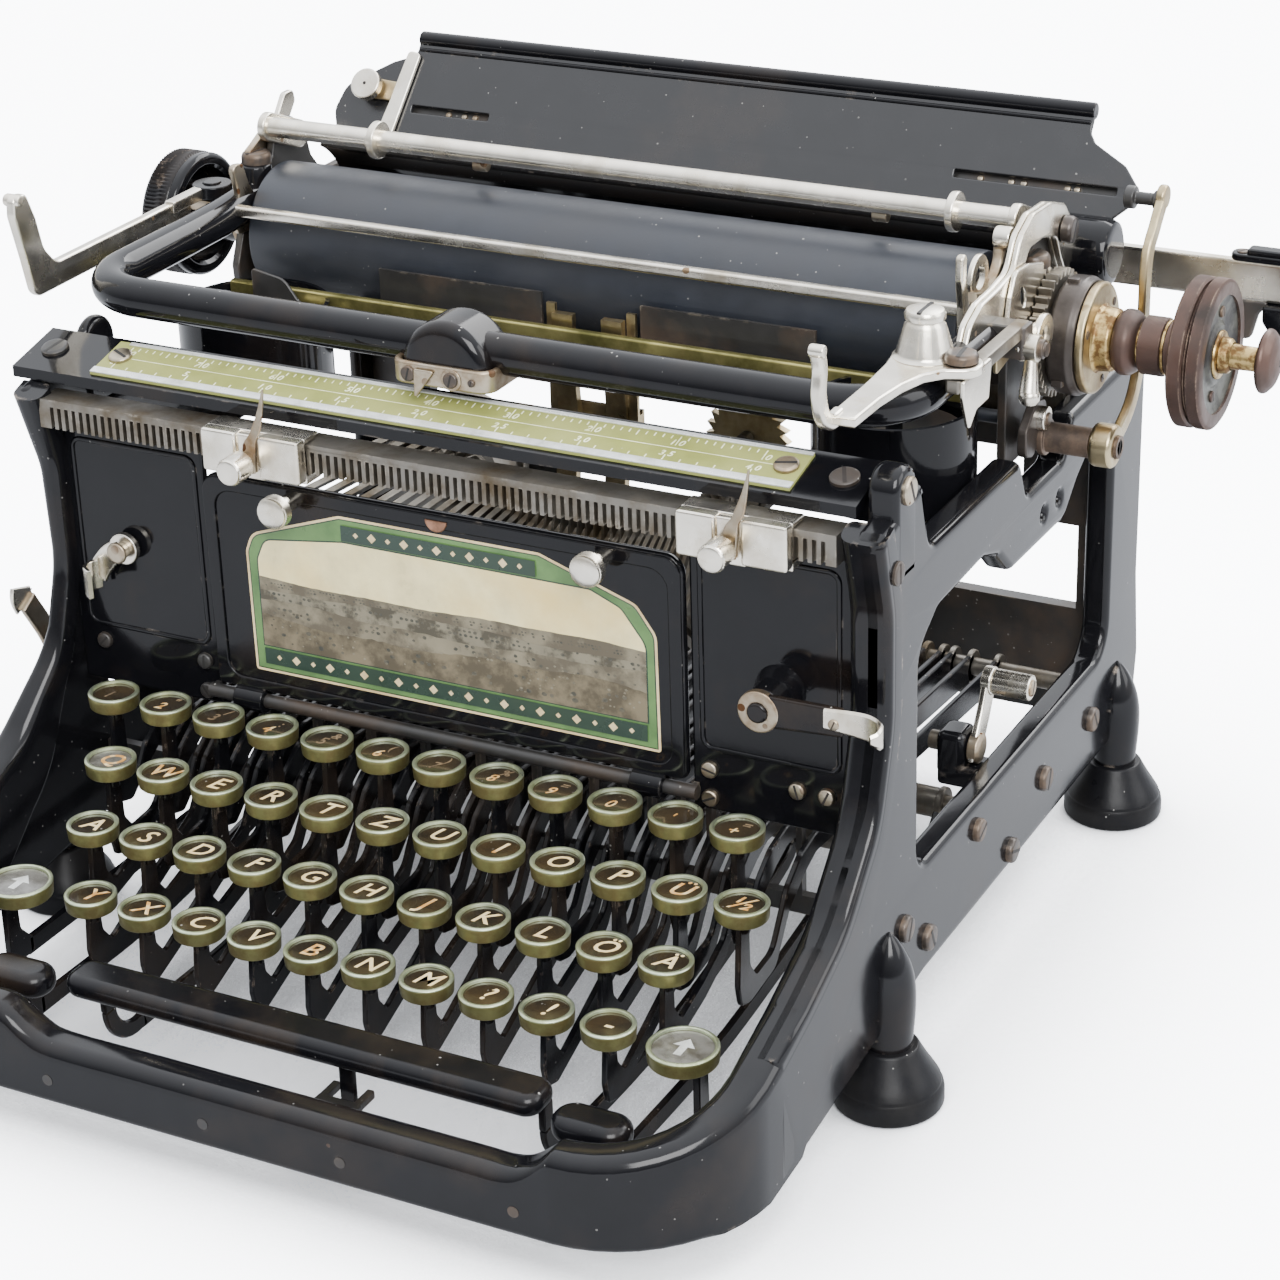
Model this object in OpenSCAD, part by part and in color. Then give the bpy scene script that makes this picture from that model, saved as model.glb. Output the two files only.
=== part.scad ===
// Manual typewriter, office size, with a moving carriage and four rows of round keys.
// Millimetres. X runs to the typist's right, Y away from the typist, Z up from the table.

/* [Body] */
// Half of the width over the two side castings
body_half = 143; // [140:1:150]
// Thickness of a side casting
side_t = 9; // [7:0.5:11]
// Width of the flange along the front edge of a side casting
front_flange_w = 13; // [11:0.5:15]
// Front face of the front rail
rail_front_y = -163; // [-168:1:-160]
// Thickness of the front rail
rail_t = 13; // [10:0.5:15]
// Outer corner radius of the front rail, in plan
rail_corner_r = 45; // [40:1:50]
// Height of the raised ends of the front rail
rail_top_z = 40; // [38:0.5:43]
// Drop of the front rail's middle under the space bar
rail_drop = 9; // [6:0.5:12]
// Underside of the front rail
rail_bottom_z = 12; // [10:0.5:15]
// Radius of a rubber foot at the table
foot_r = 16; // [13:0.5:19]
// Height of a rubber foot
foot_h = 19; // [17:0.5:21]
// Place of the front feet, front to back
foot_front_y = -46; // [-52:1:-40]
// Place of the rear feet, front to back
foot_rear_y = 143; // [138:1:146]

/* [Front] */
// Front face of the panels under the margin rack
panel_y = -40.5; // [-42:0.5:-39]
// Thickness of a front panel
panel_t = 2.5; // [2:0.25:3]
// Underside of the front panels
panel_bottom_z = 78; // [76:0.5:80]
// Width of the removable front cover
cover_w = 158; // [154:1:160]
// Height of the front cover
cover_h = 69; // [64:0.5:71]
// Thickness of the front cover
cover_t = 3; // [2.5:0.25:3.5]
// Centre height of the rod that the front cover tilts on
cover_rod_z = 84; // [83:0.5:86]
// Radius of that rod
cover_rod_r = 2.2; // [1.8:0.1:2.4]
// Left end of the top bar
bar_left_x = -142; // [-143:0.5:-138]
// Right end of the top bar
bar_right_x = 132; // [128:0.5:133]
// Thickness of the top bar
bar_t = 3.4; // [2.5:0.1:4]
// Tooth pitch of the margin rack
rack_pitch = 2.6; // [2.4:0.05:2.8]
// Height of the margin rack
rack_h = 9; // [7:0.5:10]
// Length of a margin stop
stop_len = 33; // [28:1:36]

/* [Keyboard] */
// Distance from key to key in a row
key_pitch = 19.05; // [18.8:0.05:19.3]
// Radius of a round key
key_r = 7.8; // [7:0.1:8.2]
// Height of the ring of a round key
key_ring_h = 5; // [4:0.25:6]
// Thickness of a key lever
lever_t = 1.8; // [1.4:0.1:2]
// Place of the key lever shaft, front to back
key_shaft_y = 118; // [114:1:120]
// Height of the key lever shaft
key_shaft_z = 56; // [54:0.5:58]
// Radius of the lever shafts
shaft_r = 3; // [2.5:0.1:3.4]
// Length of the space bar
space_len = 154; // [148:1:156]
// Width of the space bar
space_w = 14; // [12:0.5:15]

/* [Type action] */
// Distance from the printing point to the type bar pivots
type_r = 75.7; // [74:0.1:77]
// Number of type bars that rest in the basket
type_count = 44; // [40:2:44]
// Angle over which the type bars are spread
type_spread = 100; // [96:1:102]
// Thickness of a type bar
type_t = 1.8; // [1.4:0.1:1.9]
// Radius of a ribbon spool cup
cup_r = 24; // [22:0.5:24.5]
// Height of a ribbon spool cup
cup_h = 28; // [24:0.5:30]

/* [Carriage] */
// Radius of the platen
platen_r = 21; // [19:0.25:22]
// Distance between the outer faces of the carriage end plates
carriage_w = 272; // [270:1:276]
// Thickness of a carriage end plate
end_t = 6; // [5:0.5:6.5]
// Radius of the front tube
tube_r = 6; // [5:0.25:6.5]
// Radius of the left platen knob
knob_left_r = 20.5; // [18:0.25:21]
// Radius of the right platen knob
knob_right_r = 21.8; // [19:0.25:22]
// Radius of the platen axle
axle_r = 4.5; // [4:0.1:5]
// Width of the paper table
table_w = 235; // [225:1:240]
// Thickness of the paper table's sheet
table_t = 1.6; // [1.2:0.1:2]
// Length of the nickel rear rail
rear_rail_len = 333; // [320:1:333]

// Height of the rails that the carriage slides on
track_top = 162; // [160:0.5:163]

/* [Clearances] */
// Radial clearance of a running fit
run_gap = 0.05; // [0.03:0.01:0.08]
// Gap between faces that slide past each other
slide_gap = 0.3; // [0.25:0.05:0.4]

/* [Hidden] */
$fn = 48;

// The model is centred over the table by this shift
frame_shift = [-19.5, -1, 0];

side_in = body_half - side_t;
plate_bottom_z = 27;
post_front_y = -52;
rail_join_y = rail_front_y + rail_corner_r;
rail_join_z = 54;
notch_z = 146;
member_z = 160;
rear_post_z = 158;

// Points of the front edge of a side casting, from the top down: [y, z, corner radius]
front_edge = [[post_front_y, 173, 3], [-46, 150, 20], [-46, 118, 30], [-54, 92, 25],
    [-76, 70, 30], [-100, 60, 12]];

bar_front_y = -44;
bar_back_y = -23;
bar_front_z = 176.5;
bar_back_z = 181.5;

cover_x = 1;
cover_left = cover_x - cover_w / 2;
cover_right = cover_x + cover_w / 2;
cover_y = panel_y - cover_t + 0.5;
cover_rod_y = panel_y - cover_rod_r - slide_gap;
cover_base_z = cover_rod_z + cover_rod_r + 0.8;

rack_back_y = panel_y;
rack_depth = 9.5;
rack_z = 164.5;
rack_left_x = -129;
rack_right_x = 129;

// Rows of round keys: [x of the first key, y, top height, number of keys]
key_rows = [[-107.4, -57, 84.6, 12], [-98.4, -73.5, 71.5, 12], [-94.6, -90, 58.5, 11],
    [-85.0, -106.6, 45.4, 10]];
// Foot height of the stem under the keys of each row
stem_foot = [46, 38, 29, 19.5];
// The lever of this key, counted from 0 in row 3, strikes the middle type bar
h_index = 5;
shift_left = [-107, -111.5];
shift_right = [111, -110.5];
shift_z = 47;
shift_r = 10;
shift_lever_x = [-112, 116];
low_shaft = [30, 34];
shift_shaft = [60, 37];
oval_y = -136;
oval_z = 36;
oval_len = 23;
oval_w = 13;
backspace_x = -90.5;
backspace_lever_x = -91.5;
tabulator_x = 96.5;
tabulator_lever_x = 99;
space_x = 5;
space_y = -134;
space_z = 39;
space_arm_x = [-63.1, 79.95];

print_point = [0, 60, 188];
type_tilt = -12.2;
type_rest = 117;
segment_in = 6;
segment_out = 9;
segment_front = 4;
segment_back = 6;
segment_arc = 108;
wire_w = 1.4;
cup_x = 109;
cup_y = 36;
cup_z = 150;
cup_wall = 1.4;
spool_r = 20.5;
spool_pin_r = 2.5;
guide_in = 5;
guide_out = 12;
prong_x = guide_out + slide_gap + 1.5;

axis_y = 81;
axis_z = 188;
end_out = carriage_w / 2;
end_in = end_out - end_t;
platen_left = -end_in + 4;
platen_right = end_in - 12;
track_t = 12;
track_bottom = track_top - track_t;
bed_top = track_top + 10;
bed_lip_z = track_top - 2.5;
bed_front_y = 104;
bed_back_y = 138;
tube_y = -21;
tube_z = 198;
tube_end_y = 38;
tube_left = -end_out + 6;
tube_right = end_out - 2;
bail_pivot = [97, 214];
bail_rod = [80, 221];
rod_y = 56.5;
rod_z = 200;
arm_pivot = [74, track_top - 4];
table_foot = [112, 200];
table_angle = 55.6;
table_rise = 46;
table_left = -104;
left_pivot = [-end_out - 7.5, 68];
right_pivot = [end_out + 8, -1];
lug_z = 199.6;
right_lug_z = 204.1;
plunger_r = 4;
knob_right_out = end_out + 55;
plunger_left = knob_right_out - 4;
knob_left_out = -end_out - 32;
hub_out = end_out + 16;
arm_x = end_out + 24;
drum_at = [-90, track_bottom - 55];
wheel_at = [20, track_bottom - 30];
crank_at = [47, 66];
side_lever_at = [-32, 64];
left_lever_at = [-108, 126];
right_lever_at = [108, 120];

// A closed outline whose corners are rounded: each point is [u, v, radius]
function unit(v) = v / norm(v);
function corner(p, a, b, n) =
    let(r = len(p) > 2 ? p[2] : 0, q = [p[0], p[1]],
        da = unit([a[0], a[1]] - q), db = unit([b[0], b[1]] - q),
        half = acos(max(-1, min(1, da * db))) / 2,
        cut = min(r / max(tan(half), 0.01), norm([a[0], a[1]] - q) / 2, norm([b[0], b[1]] - q) / 2),
        rr = cut * tan(half), mid = unit(da + db), c = q + mid * rr / sin(half),
        s = q + da * cut, e = q + db * cut,
        a0 = atan2(s[1] - c[1], s[0] - c[0]), a1 = atan2(e[1] - c[1], e[0] - c[0]),
        turn = a1 - a0 > 180 ? a1 - a0 - 360 : (a1 - a0 < -180 ? a1 - a0 + 360 : a1 - a0))
    r <= 0 || half > 89.5 ? [q] : [for (i = [0:n]) c + rr * [cos(a0 + turn * i / n), sin(a0 + turn * i / n)]];
function rounded(pts, n = 4) = [for (i = [0:len(pts) - 1])
    each corner(pts[i], pts[(i + len(pts) - 1) % len(pts)], pts[(i + 1) % len(pts)], n)];
// A band of constant width along open points
function side_of(p, i) = let(a = p[max(0, i - 1)], b = p[min(len(p) - 1, i + 1)], t = unit(b - a)) [-t[1], t[0]];
function band(p, w) = concat([for (i = [0:len(p) - 1]) p[i] + side_of(p, i) * w / 2],
    [for (i = [len(p) - 1:-1:0]) p[i] - side_of(p, i) * w / 2]);
function arc(c, r, a0, a1, n) = [for (i = [0:n]) let(a = a0 + (a1 - a0) * i / n) c + r * [cos(a), sin(a)]];

// Extrudes an outline in Y and Z along X, from x
module plate_x(x, t, pts) {
    translate([x, 0, 0]) rotate([90, 0, 90]) linear_extrude(t) polygon(pts);
}
// Extrudes an outline in X and Z along Y, from y
module plate_y(y, t, pts) {
    translate([0, y + t, 0]) rotate([90, 0, 0]) linear_extrude(t) polygon(pts);
}
module rod_x(x0, x1, y, z, r) {
    translate([x0, y, z]) rotate([0, 90, 0]) cylinder(h = x1 - x0, r = r);
}
module rod_y(y0, y1, x, z, r) {
    translate([x, y0, z]) rotate([-90, 0, 0]) cylinder(h = y1 - y0, r = r);
}
module rod_z(z0, z1, x, y, r) {
    translate([x, y, z0]) cylinder(h = z1 - z0, r = r);
}
module box(a, b) {
    translate(a) cube(b - a);
}
// Outline of a side casting, seen from the right
function casting_outline() = rounded(concat(front_edge, [
    [rail_join_y, rail_join_z], [rail_join_y, rail_bottom_z + 3], [-20, plate_bottom_z, 20],
    [160, plate_bottom_z, 8], [164, 50, 12], [160, 80, 15], [160, rear_post_z, 3],
    [92, rear_post_z, 4], [86, notch_z, 4], [56, notch_z, 4], [50, member_z, 4],
    [-18, member_z, 6], [bar_back_y - 1, bar_back_z - 0.3], [-48, 175.2, 2]]));
function window_outline() = rounded([[-25, 63, 7], [-25, 131, 8], [-12, 139, 5], [22, 140, 6], [34, 136, 5],
    [44, 127, 4], [88, 126, 6], [99, 135, 5], [112, 142, 5], [131, 142, 5], [131, 63, 10]]);
// Band along the front edge that makes the casting's wide front face
flange_back = [[rail_join_y, rail_join_z - 9], [-100, 49, 12], [-72, 60, 30], [-48, 86, 25], [-40, 114, 30],
    [-40, 152, 20], [-44, 171, 2]];
function flange_outline() = rounded(concat(front_edge, [[rail_join_y, rail_join_z]], flange_back));

module foot_pod(x, y) {
    translate([x, y, 0]) rotate_extrude() polygon([[0, foot_h], [7.6, foot_h], [7.6, 38], [6.4, 44],
        [3.6, 50], [0, 53]]);
}
module casting(ear_y, ear_z, ear_r) {
    difference() {
        union() {
            plate_x(side_in, side_t, casting_outline());
            plate_x(body_half - front_flange_w, front_flange_w, flange_outline());
            rod_x(side_in, body_half, ear_y, ear_z, ear_r);
            box([side_in, ear_y - ear_r + 0.2, 154], [body_half, ear_y + ear_r - 0.2, ear_z]);
            foot_pod(body_half, foot_front_y);
            foot_pod(body_half, foot_rear_y);
        }
        plate_x(side_in - 20, side_t + 40, window_outline());
        rod_x(side_in - 1, body_half + 1, 70, 135, 1.8);
        rod_x(side_in - 1, body_half + 1, 83, 135, 1.8);
    }
}
module side_plate_right() {
    color([0.06, 0.06, 0.07]) difference() {
        union() {
            casting(-35, 183, 7);
            box([120, crank_at[0] - 6, 54], [side_in + 1, crank_at[0] + 6, 61]);
            box([120, crank_at[0] - 6, 60], [130, crank_at[0] + 6, crank_at[1] + 6]);
        }
        rod_x(119, 131, crank_at[0], crank_at[1], shaft_r + run_gap);
    }
}
module side_plate_left() {
    color([0.06, 0.06, 0.07]) union() {
        mirror([1, 0, 0]) casting(-12, 178, 8);
        rod_x(-155, -body_half + 1, side_lever_at[0], side_lever_at[1], shaft_r);
    }
}

// Plan outline of the front rail between two radii of its corners
function rail_plan() = let(c = body_half - rail_corner_r, y = rail_join_y, ri = rail_corner_r - rail_t)
    concat(arc([c, y], rail_corner_r, 0, -90, 10), arc([-c, y], rail_corner_r, -90, -180, 10),
        arc([-c, y], ri, -180, -90, 10), arc([c, y], ri, -90, 0, 10));
module front_rail() {
    low_z = rail_top_z - rail_drop;
    color([0.06, 0.06, 0.07]) union() {
        difference() {
            translate([0, 0, rail_bottom_z]) linear_extrude(rail_join_z - rail_bottom_z) polygon(rail_plan());
            plate_x(-body_half - 1, 2 * body_half + 2, [[rail_join_y + 1, rail_join_z + 0.1],
                [rail_join_y - 8, rail_join_z - 4], [rail_front_y + rail_t, rail_top_z + 1],
                [rail_front_y - 1, rail_top_z], [rail_front_y - 1, rail_join_z + 9],
                [rail_join_y + 1, rail_join_z + 9]]);
            plate_y(rail_front_y - 1, rail_t + 2, [[-75, rail_top_z + 2], [-66, low_z], [89, low_z],
                [98, rail_top_z + 2]]);
            for (x = [-62, -10, 34, 87]) rod_y(rail_front_y - 1, rail_front_y + 5, x, 20, 1.6);
        }
        box([12, rail_front_y + rail_t - 1, 19], [26, space_y - 4, 21.5]);
        for (s = [-1, 1]) box([19 + s * 5.5 - 1.2, space_y - 5, 19], [19 + s * 5.5 + 1.2, space_y + 3, 21.5]);
    }
}
module rear_frame() {
    color([0.07, 0.07, 0.07]) union() {
        difference() {
            box([-side_in, 140, 34], [side_in, 145, track_bottom]);
            box([-110, 139, 100], [110, 146, track_bottom - 12]);
            box([-60, 139, 72], [side_in - 5, 146, 101]);
        }
        box([-side_in, bed_front_y, track_bottom - 10], [side_in, 141, track_bottom]);
        rod_y(110, 141, drum_at[0], drum_at[1], 4);
        box([wheel_at[0] - 4, 134, wheel_at[1] - 8], [wheel_at[0] + 4, 141, track_bottom - 9]);
        rod_y(120, 135, wheel_at[0], wheel_at[1], 2.5);
    }
}
module carriage_track() {
    color([0.6, 0.6, 0.6]) union() {
        box([-side_in, 108, track_bottom], [side_in, 114, track_top]);
        box([-side_in, 126, track_bottom], [side_in, 134, track_top]);
    }
}
module rubber_feet() {
    color([0.05, 0.05, 0.05]) for (x = [-body_half, body_half]) for (y = [foot_front_y, foot_rear_y])
        translate([x, y, 0]) rotate_extrude() polygon([[0, 0], [foot_r, 0], [foot_r, 4],
            [foot_r - 1.5, 8], [10.5, foot_h], [0, foot_h]]);
}
module front_panels() {
    color([0.05, 0.05, 0.06]) union() {
        box([-body_half + front_flange_w, panel_y, panel_bottom_z],
            [cover_x - cover_w / 2 - 0.6, panel_y + panel_t, rack_z + 5]);
        rod_y(panel_y - 8, panel_y + 1, left_lever_at[0], left_lever_at[1], 2.5);
        box([cover_x + cover_w / 2 + 0.6, panel_y, panel_bottom_z],
            [body_half - front_flange_w, panel_y + panel_t, rack_z + 5]);
        rod_y(panel_y - 16, panel_y + 1, right_lever_at[0], right_lever_at[1], shaft_r);
        rod_y(panel_y - 12, panel_y + 1, right_lever_at[0], right_lever_at[1], 5.5);
    }
}
module front_cover() {
    x0 = cover_x - cover_w / 2;
    x1 = cover_x + cover_w / 2;
    color([0.05, 0.05, 0.06]) union() {
        plate_y(cover_y, cover_t, rounded([[x0, cover_base_z, 2], [x1, cover_base_z, 2],
            [x1, cover_base_z + cover_h, 6], [x0, cover_base_z + cover_h, 6]]));
        for (x = [x0 + 12, x1 - 12]) difference() {
            union() {
                rod_x(x - 5, x + 5, cover_rod_y, cover_rod_z, cover_rod_r + 1.8);
                box([x - 5, cover_y, cover_rod_z + 1], [x + 5, cover_y + cover_t, cover_base_z + 1]);
            }
            rod_x(x - 6, x + 6, cover_rod_y, cover_rod_z, cover_rod_r + run_gap);
        }
    }
}
module cover_rod() {
    color([0.1, 0.1, 0.1]) union() {
        rod_x(cover_x - cover_w / 2 - 3, cover_x + cover_w / 2 + 3, cover_rod_y, cover_rod_z, cover_rod_r);
        for (x = [cover_x - cover_w / 2 - 2.5, cover_x + cover_w / 2 + 0.8])
            box([x, cover_rod_y, cover_rod_z - 2], [x + 1.7, panel_y, cover_rod_z + 2]);
    }
}
module cover_knobs() {
    color([0.8, 0.77, 0.7]) for (x = [cover_x - 48, cover_x + 54]) union() {
        rod_y(cover_y - 7, cover_y, x, cover_base_z + cover_h - 4.8, 2.6);
        rod_y(cover_y - 11, cover_y - 6.5, x, cover_base_z + cover_h - 4.8, 5);
    }
}
module top_bar() {
    color([0.07, 0.07, 0.08]) plate_x(bar_left_x, bar_right_x - bar_left_x,
        [[bar_front_y, bar_front_z], [bar_back_y, bar_back_z], [bar_back_y, bar_back_z + bar_t],
            [bar_front_y, bar_front_z + bar_t]]);
}
module margin_scale() {
    slope = (bar_back_z - bar_front_z) / (bar_back_y - bar_front_y);
    y0 = bar_front_y + 2;
    y1 = bar_back_y - 2.5;
    base = bar_front_z + bar_t;
    color([0.6, 0.62, 0.3]) plate_x(-115, 227, [[y0, base + 2 * slope],
        [y1, base + (y1 - bar_front_y) * slope], [y1, base + (y1 - bar_front_y) * slope + 0.8],
        [y0, base + 2 * slope + 0.8]]);
}
module margin_rack() {
    teeth = floor((rack_right_x - rack_left_x - 8) / rack_pitch);
    color([0.45, 0.4, 0.33]) difference() {
        box([rack_left_x, rack_back_y - rack_depth, rack_z], [rack_right_x, rack_back_y, rack_z + rack_h]);
        for (i = [0:teeth]) box([rack_left_x + 4 + i * rack_pitch, rack_back_y - rack_depth - 1, rack_z - 1],
            [rack_left_x + 4 + (i + 0.5) * rack_pitch, rack_back_y - rack_depth + 2, rack_z + rack_h - 2.2]);
    }
}
// A margin stop: clamp round the rack, finger knob and pointer
module margin_stop(x) {
    f = rack_back_y - rack_depth - slide_gap;
    color([0.8, 0.77, 0.7]) union() {
        box([x, f - 5, rack_z - 2], [x + stop_len, f, rack_z + rack_h + 2]);
        box([x, f - 1, rack_z + rack_h + slide_gap], [x + stop_len, rack_back_y - 3, rack_z + rack_h + 2]);
        box([x, f - 1, rack_z - 3], [x + stop_len, rack_back_y - 3, rack_z - slide_gap]);
        rod_y(f - 14, f - 4.5, x + stop_len * 0.45, rack_z + 2.5, 4.2);
        plate_y(f - 2.2, 1.2, [[x + stop_len * 0.5, rack_z + rack_h], [x + stop_len * 0.75, rack_z + rack_h],
            [x + stop_len * 0.66, 184], [x + stop_len * 0.63, 189], [x + stop_len * 0.6, 184]]);
    }
}
module margin_stop_left() {
    margin_stop(-68);
}
module margin_stop_right() {
    margin_stop(84);
}
module screw_head_y(x, y, z, r) {
    difference() {
        rod_y(y - 1.6, y, x, z, r);
        box([x - r - 1, y - 2, z - 0.4], [x + r + 1, y - 1, z + 0.4]);
    }
}
module frame_screws() {
    bolt_spots = [[-35, 50], [-18, 38], [48, 33], [20, 54], [76, 44], [118, 45]];
    slope_a = atan((bar_back_z - bar_front_z) / (bar_back_y - bar_front_y));
    color([0.3, 0.28, 0.25]) union() {
        for (p = [[-121, 92], [cover_left - 6, 92], [cover_left - 6, 82], [cover_right + 6, 91],
            [cover_right + 6, 82], [122, 90], [113, 90]])
            screw_head_y(p[0], panel_y, p[1], 2.6);
        for (s = [-1, 1]) for (p = bolt_spots)
            rod_x(s > 0 ? body_half : -body_half - 2, s > 0 ? body_half + 2 : -body_half, p[0], p[1], 4);
        rod_x(body_half, body_half + 1.6, -35, 183, 4);
        for (x = [-134, 124]) translate([x, -33, bar_front_z + bar_t + 11 * tan(slope_a)])
            rotate([slope_a, 0, 0]) cylinder(h = 1.4, r = 4.2);
        for (x = [-110, 107]) translate([x, -33, bar_front_z + bar_t + 0.8 + 11 * tan(slope_a)])
            rotate([slope_a, 0, 0]) cylinder(h = 1.2, r = 3.6);
    }
}
module panel_lever_left() {
    p = left_lever_at;
    color([0.75, 0.7, 0.6]) difference() {
        union() {
            rod_y(panel_y - 4, panel_y - 2, p[0], p[1], 5);
            plate_y(panel_y - 4, 2, band([p, p + [-9, -7]], 8));
            box([p[0] - 17, panel_y - 12, p[1] - 12], [p[0] - 4, panel_y - 2, p[1] - 9.5]);
            box([p[0] - 12, panel_y - 4, p[1] - 12], [p[0] - 5, panel_y - 2, p[1] - 4]);
        }
        rod_y(panel_y - 13, panel_y + 1, p[0], p[1], 2.5 + run_gap);
    }
}
module panel_lever_right() {
    p = right_lever_at;
    y = panel_y - 15;
    color([0.3, 0.28, 0.26]) difference() {
        union() {
            rod_y(y, y + 2.6, p[0], p[1], 8.5);
            plate_y(y, 2.6, [p + [4, -5], p + [24, -3.5], p + [24, 6], p + [4, 7]]);
            plate_y(y - 0.6, 3.2, rounded([p + [22, -5, 0], p + [40, -4, 5], p + [40, 9, 5], p + [22, 7.5, 0]]));
        }
        rod_y(y - 1, y + 4, p[0], p[1], shaft_r + run_gap);
    }
}
module side_lever() {
    p = side_lever_at;
    color([0.55, 0.45, 0.35]) difference() {
        union() {
            rod_x(-154, -147.5, p[0], p[1], 8);
            plate_x(-147.6, 2.6, band([p, p + [-1, 12], p + [-5, 24], p + [-13, 38]], 7));
            rod_x(-147.6, -145, p[0], p[1], 6);
        }
        rod_x(-157, -144, p[0], p[1], shaft_r + run_gap);
    }
}
module ribbon_crank() {
    p = crank_at;
    color([0.75, 0.7, 0.6]) union() {
        rod_x(117, 133, p[0], p[1], shaft_r);
        plate_x(130 + slide_gap, 2.5, band([p + [-1, -3], p + [4, 8], p + [10, 20]], 7));
        rod_x(132.5, 146, p[0] + 10, p[1] + 18, 4);
    }
}

module spool_cups() {
    color([0.06, 0.06, 0.06]) for (s = [-1, 1]) union() {
        difference() {
            rod_z(cup_z, cup_z + cup_h, s * cup_x, cup_y, cup_r);
            rod_z(cup_z + 1.6, cup_z + cup_h + 1, s * cup_x, cup_y, cup_r - cup_wall);
        }
        rod_z(cup_z, cup_z + cup_h - 6, s * cup_x, cup_y, spool_pin_r);
        box([s > 0 ? cup_x : -side_in, cup_y - 8, cup_z - 4], [s > 0 ? side_in : -cup_x, cup_y + 8, cup_z + 0.5]);
    }
}
module ribbon_spool(s) {
    z0 = cup_z + 1.6 + slide_gap;
    color([0.12, 0.12, 0.12]) translate([s * cup_x, cup_y, z0]) difference() {
        union() {
            cylinder(h = 1, r = spool_r);
            translate([0, 0, 0.5]) cylinder(h = 16, r = 15);
            translate([0, 0, 16]) cylinder(h = 1, r = spool_r);
        }
        translate([0, 0, -1]) cylinder(h = 20, r = spool_pin_r + run_gap);
        for (a = [0:120:240]) rotate([0, 0, a]) translate([9, 0, -1]) cylinder(h = 20, r = 2.5);
    }
}
module ribbon_spool_left() {
    ribbon_spool(-1);
}
module ribbon_spool_right() {
    ribbon_spool(1);
}

// Turns its children into the tilted frame of the type segment
module at_print() {
    translate(print_point) rotate([type_tilt, 0, 0]) children();
}
type_step = type_spread / type_count;
module segment() {
    color([0.55, 0.52, 0.45]) union() {
        at_print() difference() {
            rotate([90, 0, 0]) translate([0, 0, -segment_back]) rotate([0, 0, -90 - segment_arc / 2])
                rotate_extrude(angle = segment_arc) translate([type_r - segment_in, 0])
                    square([segment_in + segment_out, segment_front + segment_back]);
            for (i = [0:type_count]) rotate([0, -(i - type_count / 2) * type_step, 0])
                box([-type_t / 2 - 0.2, -segment_front - 1, -type_r - 7.8],
                    [type_t / 2 + 0.2, segment_back - 2, -type_r + segment_in + 1]);
        }
        at_print() rotate([90, 0, 0]) rotate([0, 0, -90 - segment_arc / 2 + 1])
            rotate_extrude(angle = segment_arc - 2) translate([type_r - wire_w / 2, -wire_w / 2])
                square(wire_w);
        for (s = [-1, 1]) box([s > 0 ? 63.5 : -side_in, 44, 137], [s > 0 ? side_in : -63.5, 53, 145.5]);
    }
}
// One type bar at an angle round the segment, lying at rest
module type_bar(a) {
    pts = concat(arc([0, 0], 2.6, 60, 300, 8), [[8, -2.3], [64, -1.8], [68, -3.5], [73, -3.5], [73, 3.5],
        [68, 3.5], [64, 1.8], [8, 2.3]]);
    at_print() rotate([0, -a, 0]) translate([-type_t / 2, 0, -type_r]) rotate([type_rest, 0, 0])
        difference() {
            rotate([90, 0, 90]) linear_extrude(type_t) rotate([0, 0, 90]) polygon(pts);
            translate([-1, 0, 0]) rotate([0, 90, 0]) cylinder(h = type_t + 2, r = wire_w * 0.71 + 0.15, $fn = 24);
        }
}
module type_bars() {
    color([0.5, 0.5, 0.5]) for (i = [0:type_count]) if (i != type_count / 2)
        type_bar((i - type_count / 2) * type_step);
}
module type_bar_h() {
    color([0.55, 0.55, 0.55]) type_bar(0);
}
module type_guide() {
    side = [[51.2, 115], [54.4, 115], [58.6, 150], [56.6, 166], [56.6, 182], [54, 182], [54, 166], [55.8, 150]];
    color([0.6, 0.56, 0.48]) union() {
        plate_x(guide_in, guide_out - guide_in, side);
        plate_x(-guide_out, guide_out - guide_in, side);
        at_print() box([-guide_out, segment_back, -type_r - 7], [guide_out, segment_back + 4, -type_r + 4]);
    }
}
module ribbon_vibrator() {
    color([0.65, 0.6, 0.5]) union() {
        for (s = [-1, 1]) box([s * prong_x - 1.5, 56.9, 150], [s * prong_x + 1.5, 58.2, 184]);
        box([-prong_x - 1.5, 60, 146], [prong_x + 1.5, 61.2, 152]);
        for (s = [-1, 1]) box([s * prong_x - 1.5, 56.9, 148], [s * prong_x + 1.5, 61.2, 151]);
    }
}
module card_plates() {
    color([0.08, 0.08, 0.08]) for (s = [-1, 1]) union() {
        box([s > 0 ? 17 : -75, 56.9, 176], [s > 0 ? 75 : -17, 58, 187]);
        box([s > 0 ? 17 : -24, 54.5, 172], [s > 0 ? 24 : -17, 58, 176.5]);
        box([s > 0 ? 12 : -18, 54.5, 172], [s > 0 ? 18 : -12, 56.3, 176.5]);
    }
}
function lever_x(row, i) = key_rows[row][0] + i * key_pitch;
module key_comb() {
    color([0.25, 0.25, 0.25]) union() {
        box([-side_in, -30, 44], [side_in, -27, 50]);
        for (i = [0:11]) for (d = [6.2, 15.9]) let(x = key_rows[0][0] + i * key_pitch + d)
            if (abs(x - backspace_lever_x) > 3 && abs(x - tabulator_lever_x) > 3 && x < 116)
                box([x - 0.9, -30, 49], [x + 0.9, -27, 74]);
    }
}
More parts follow.
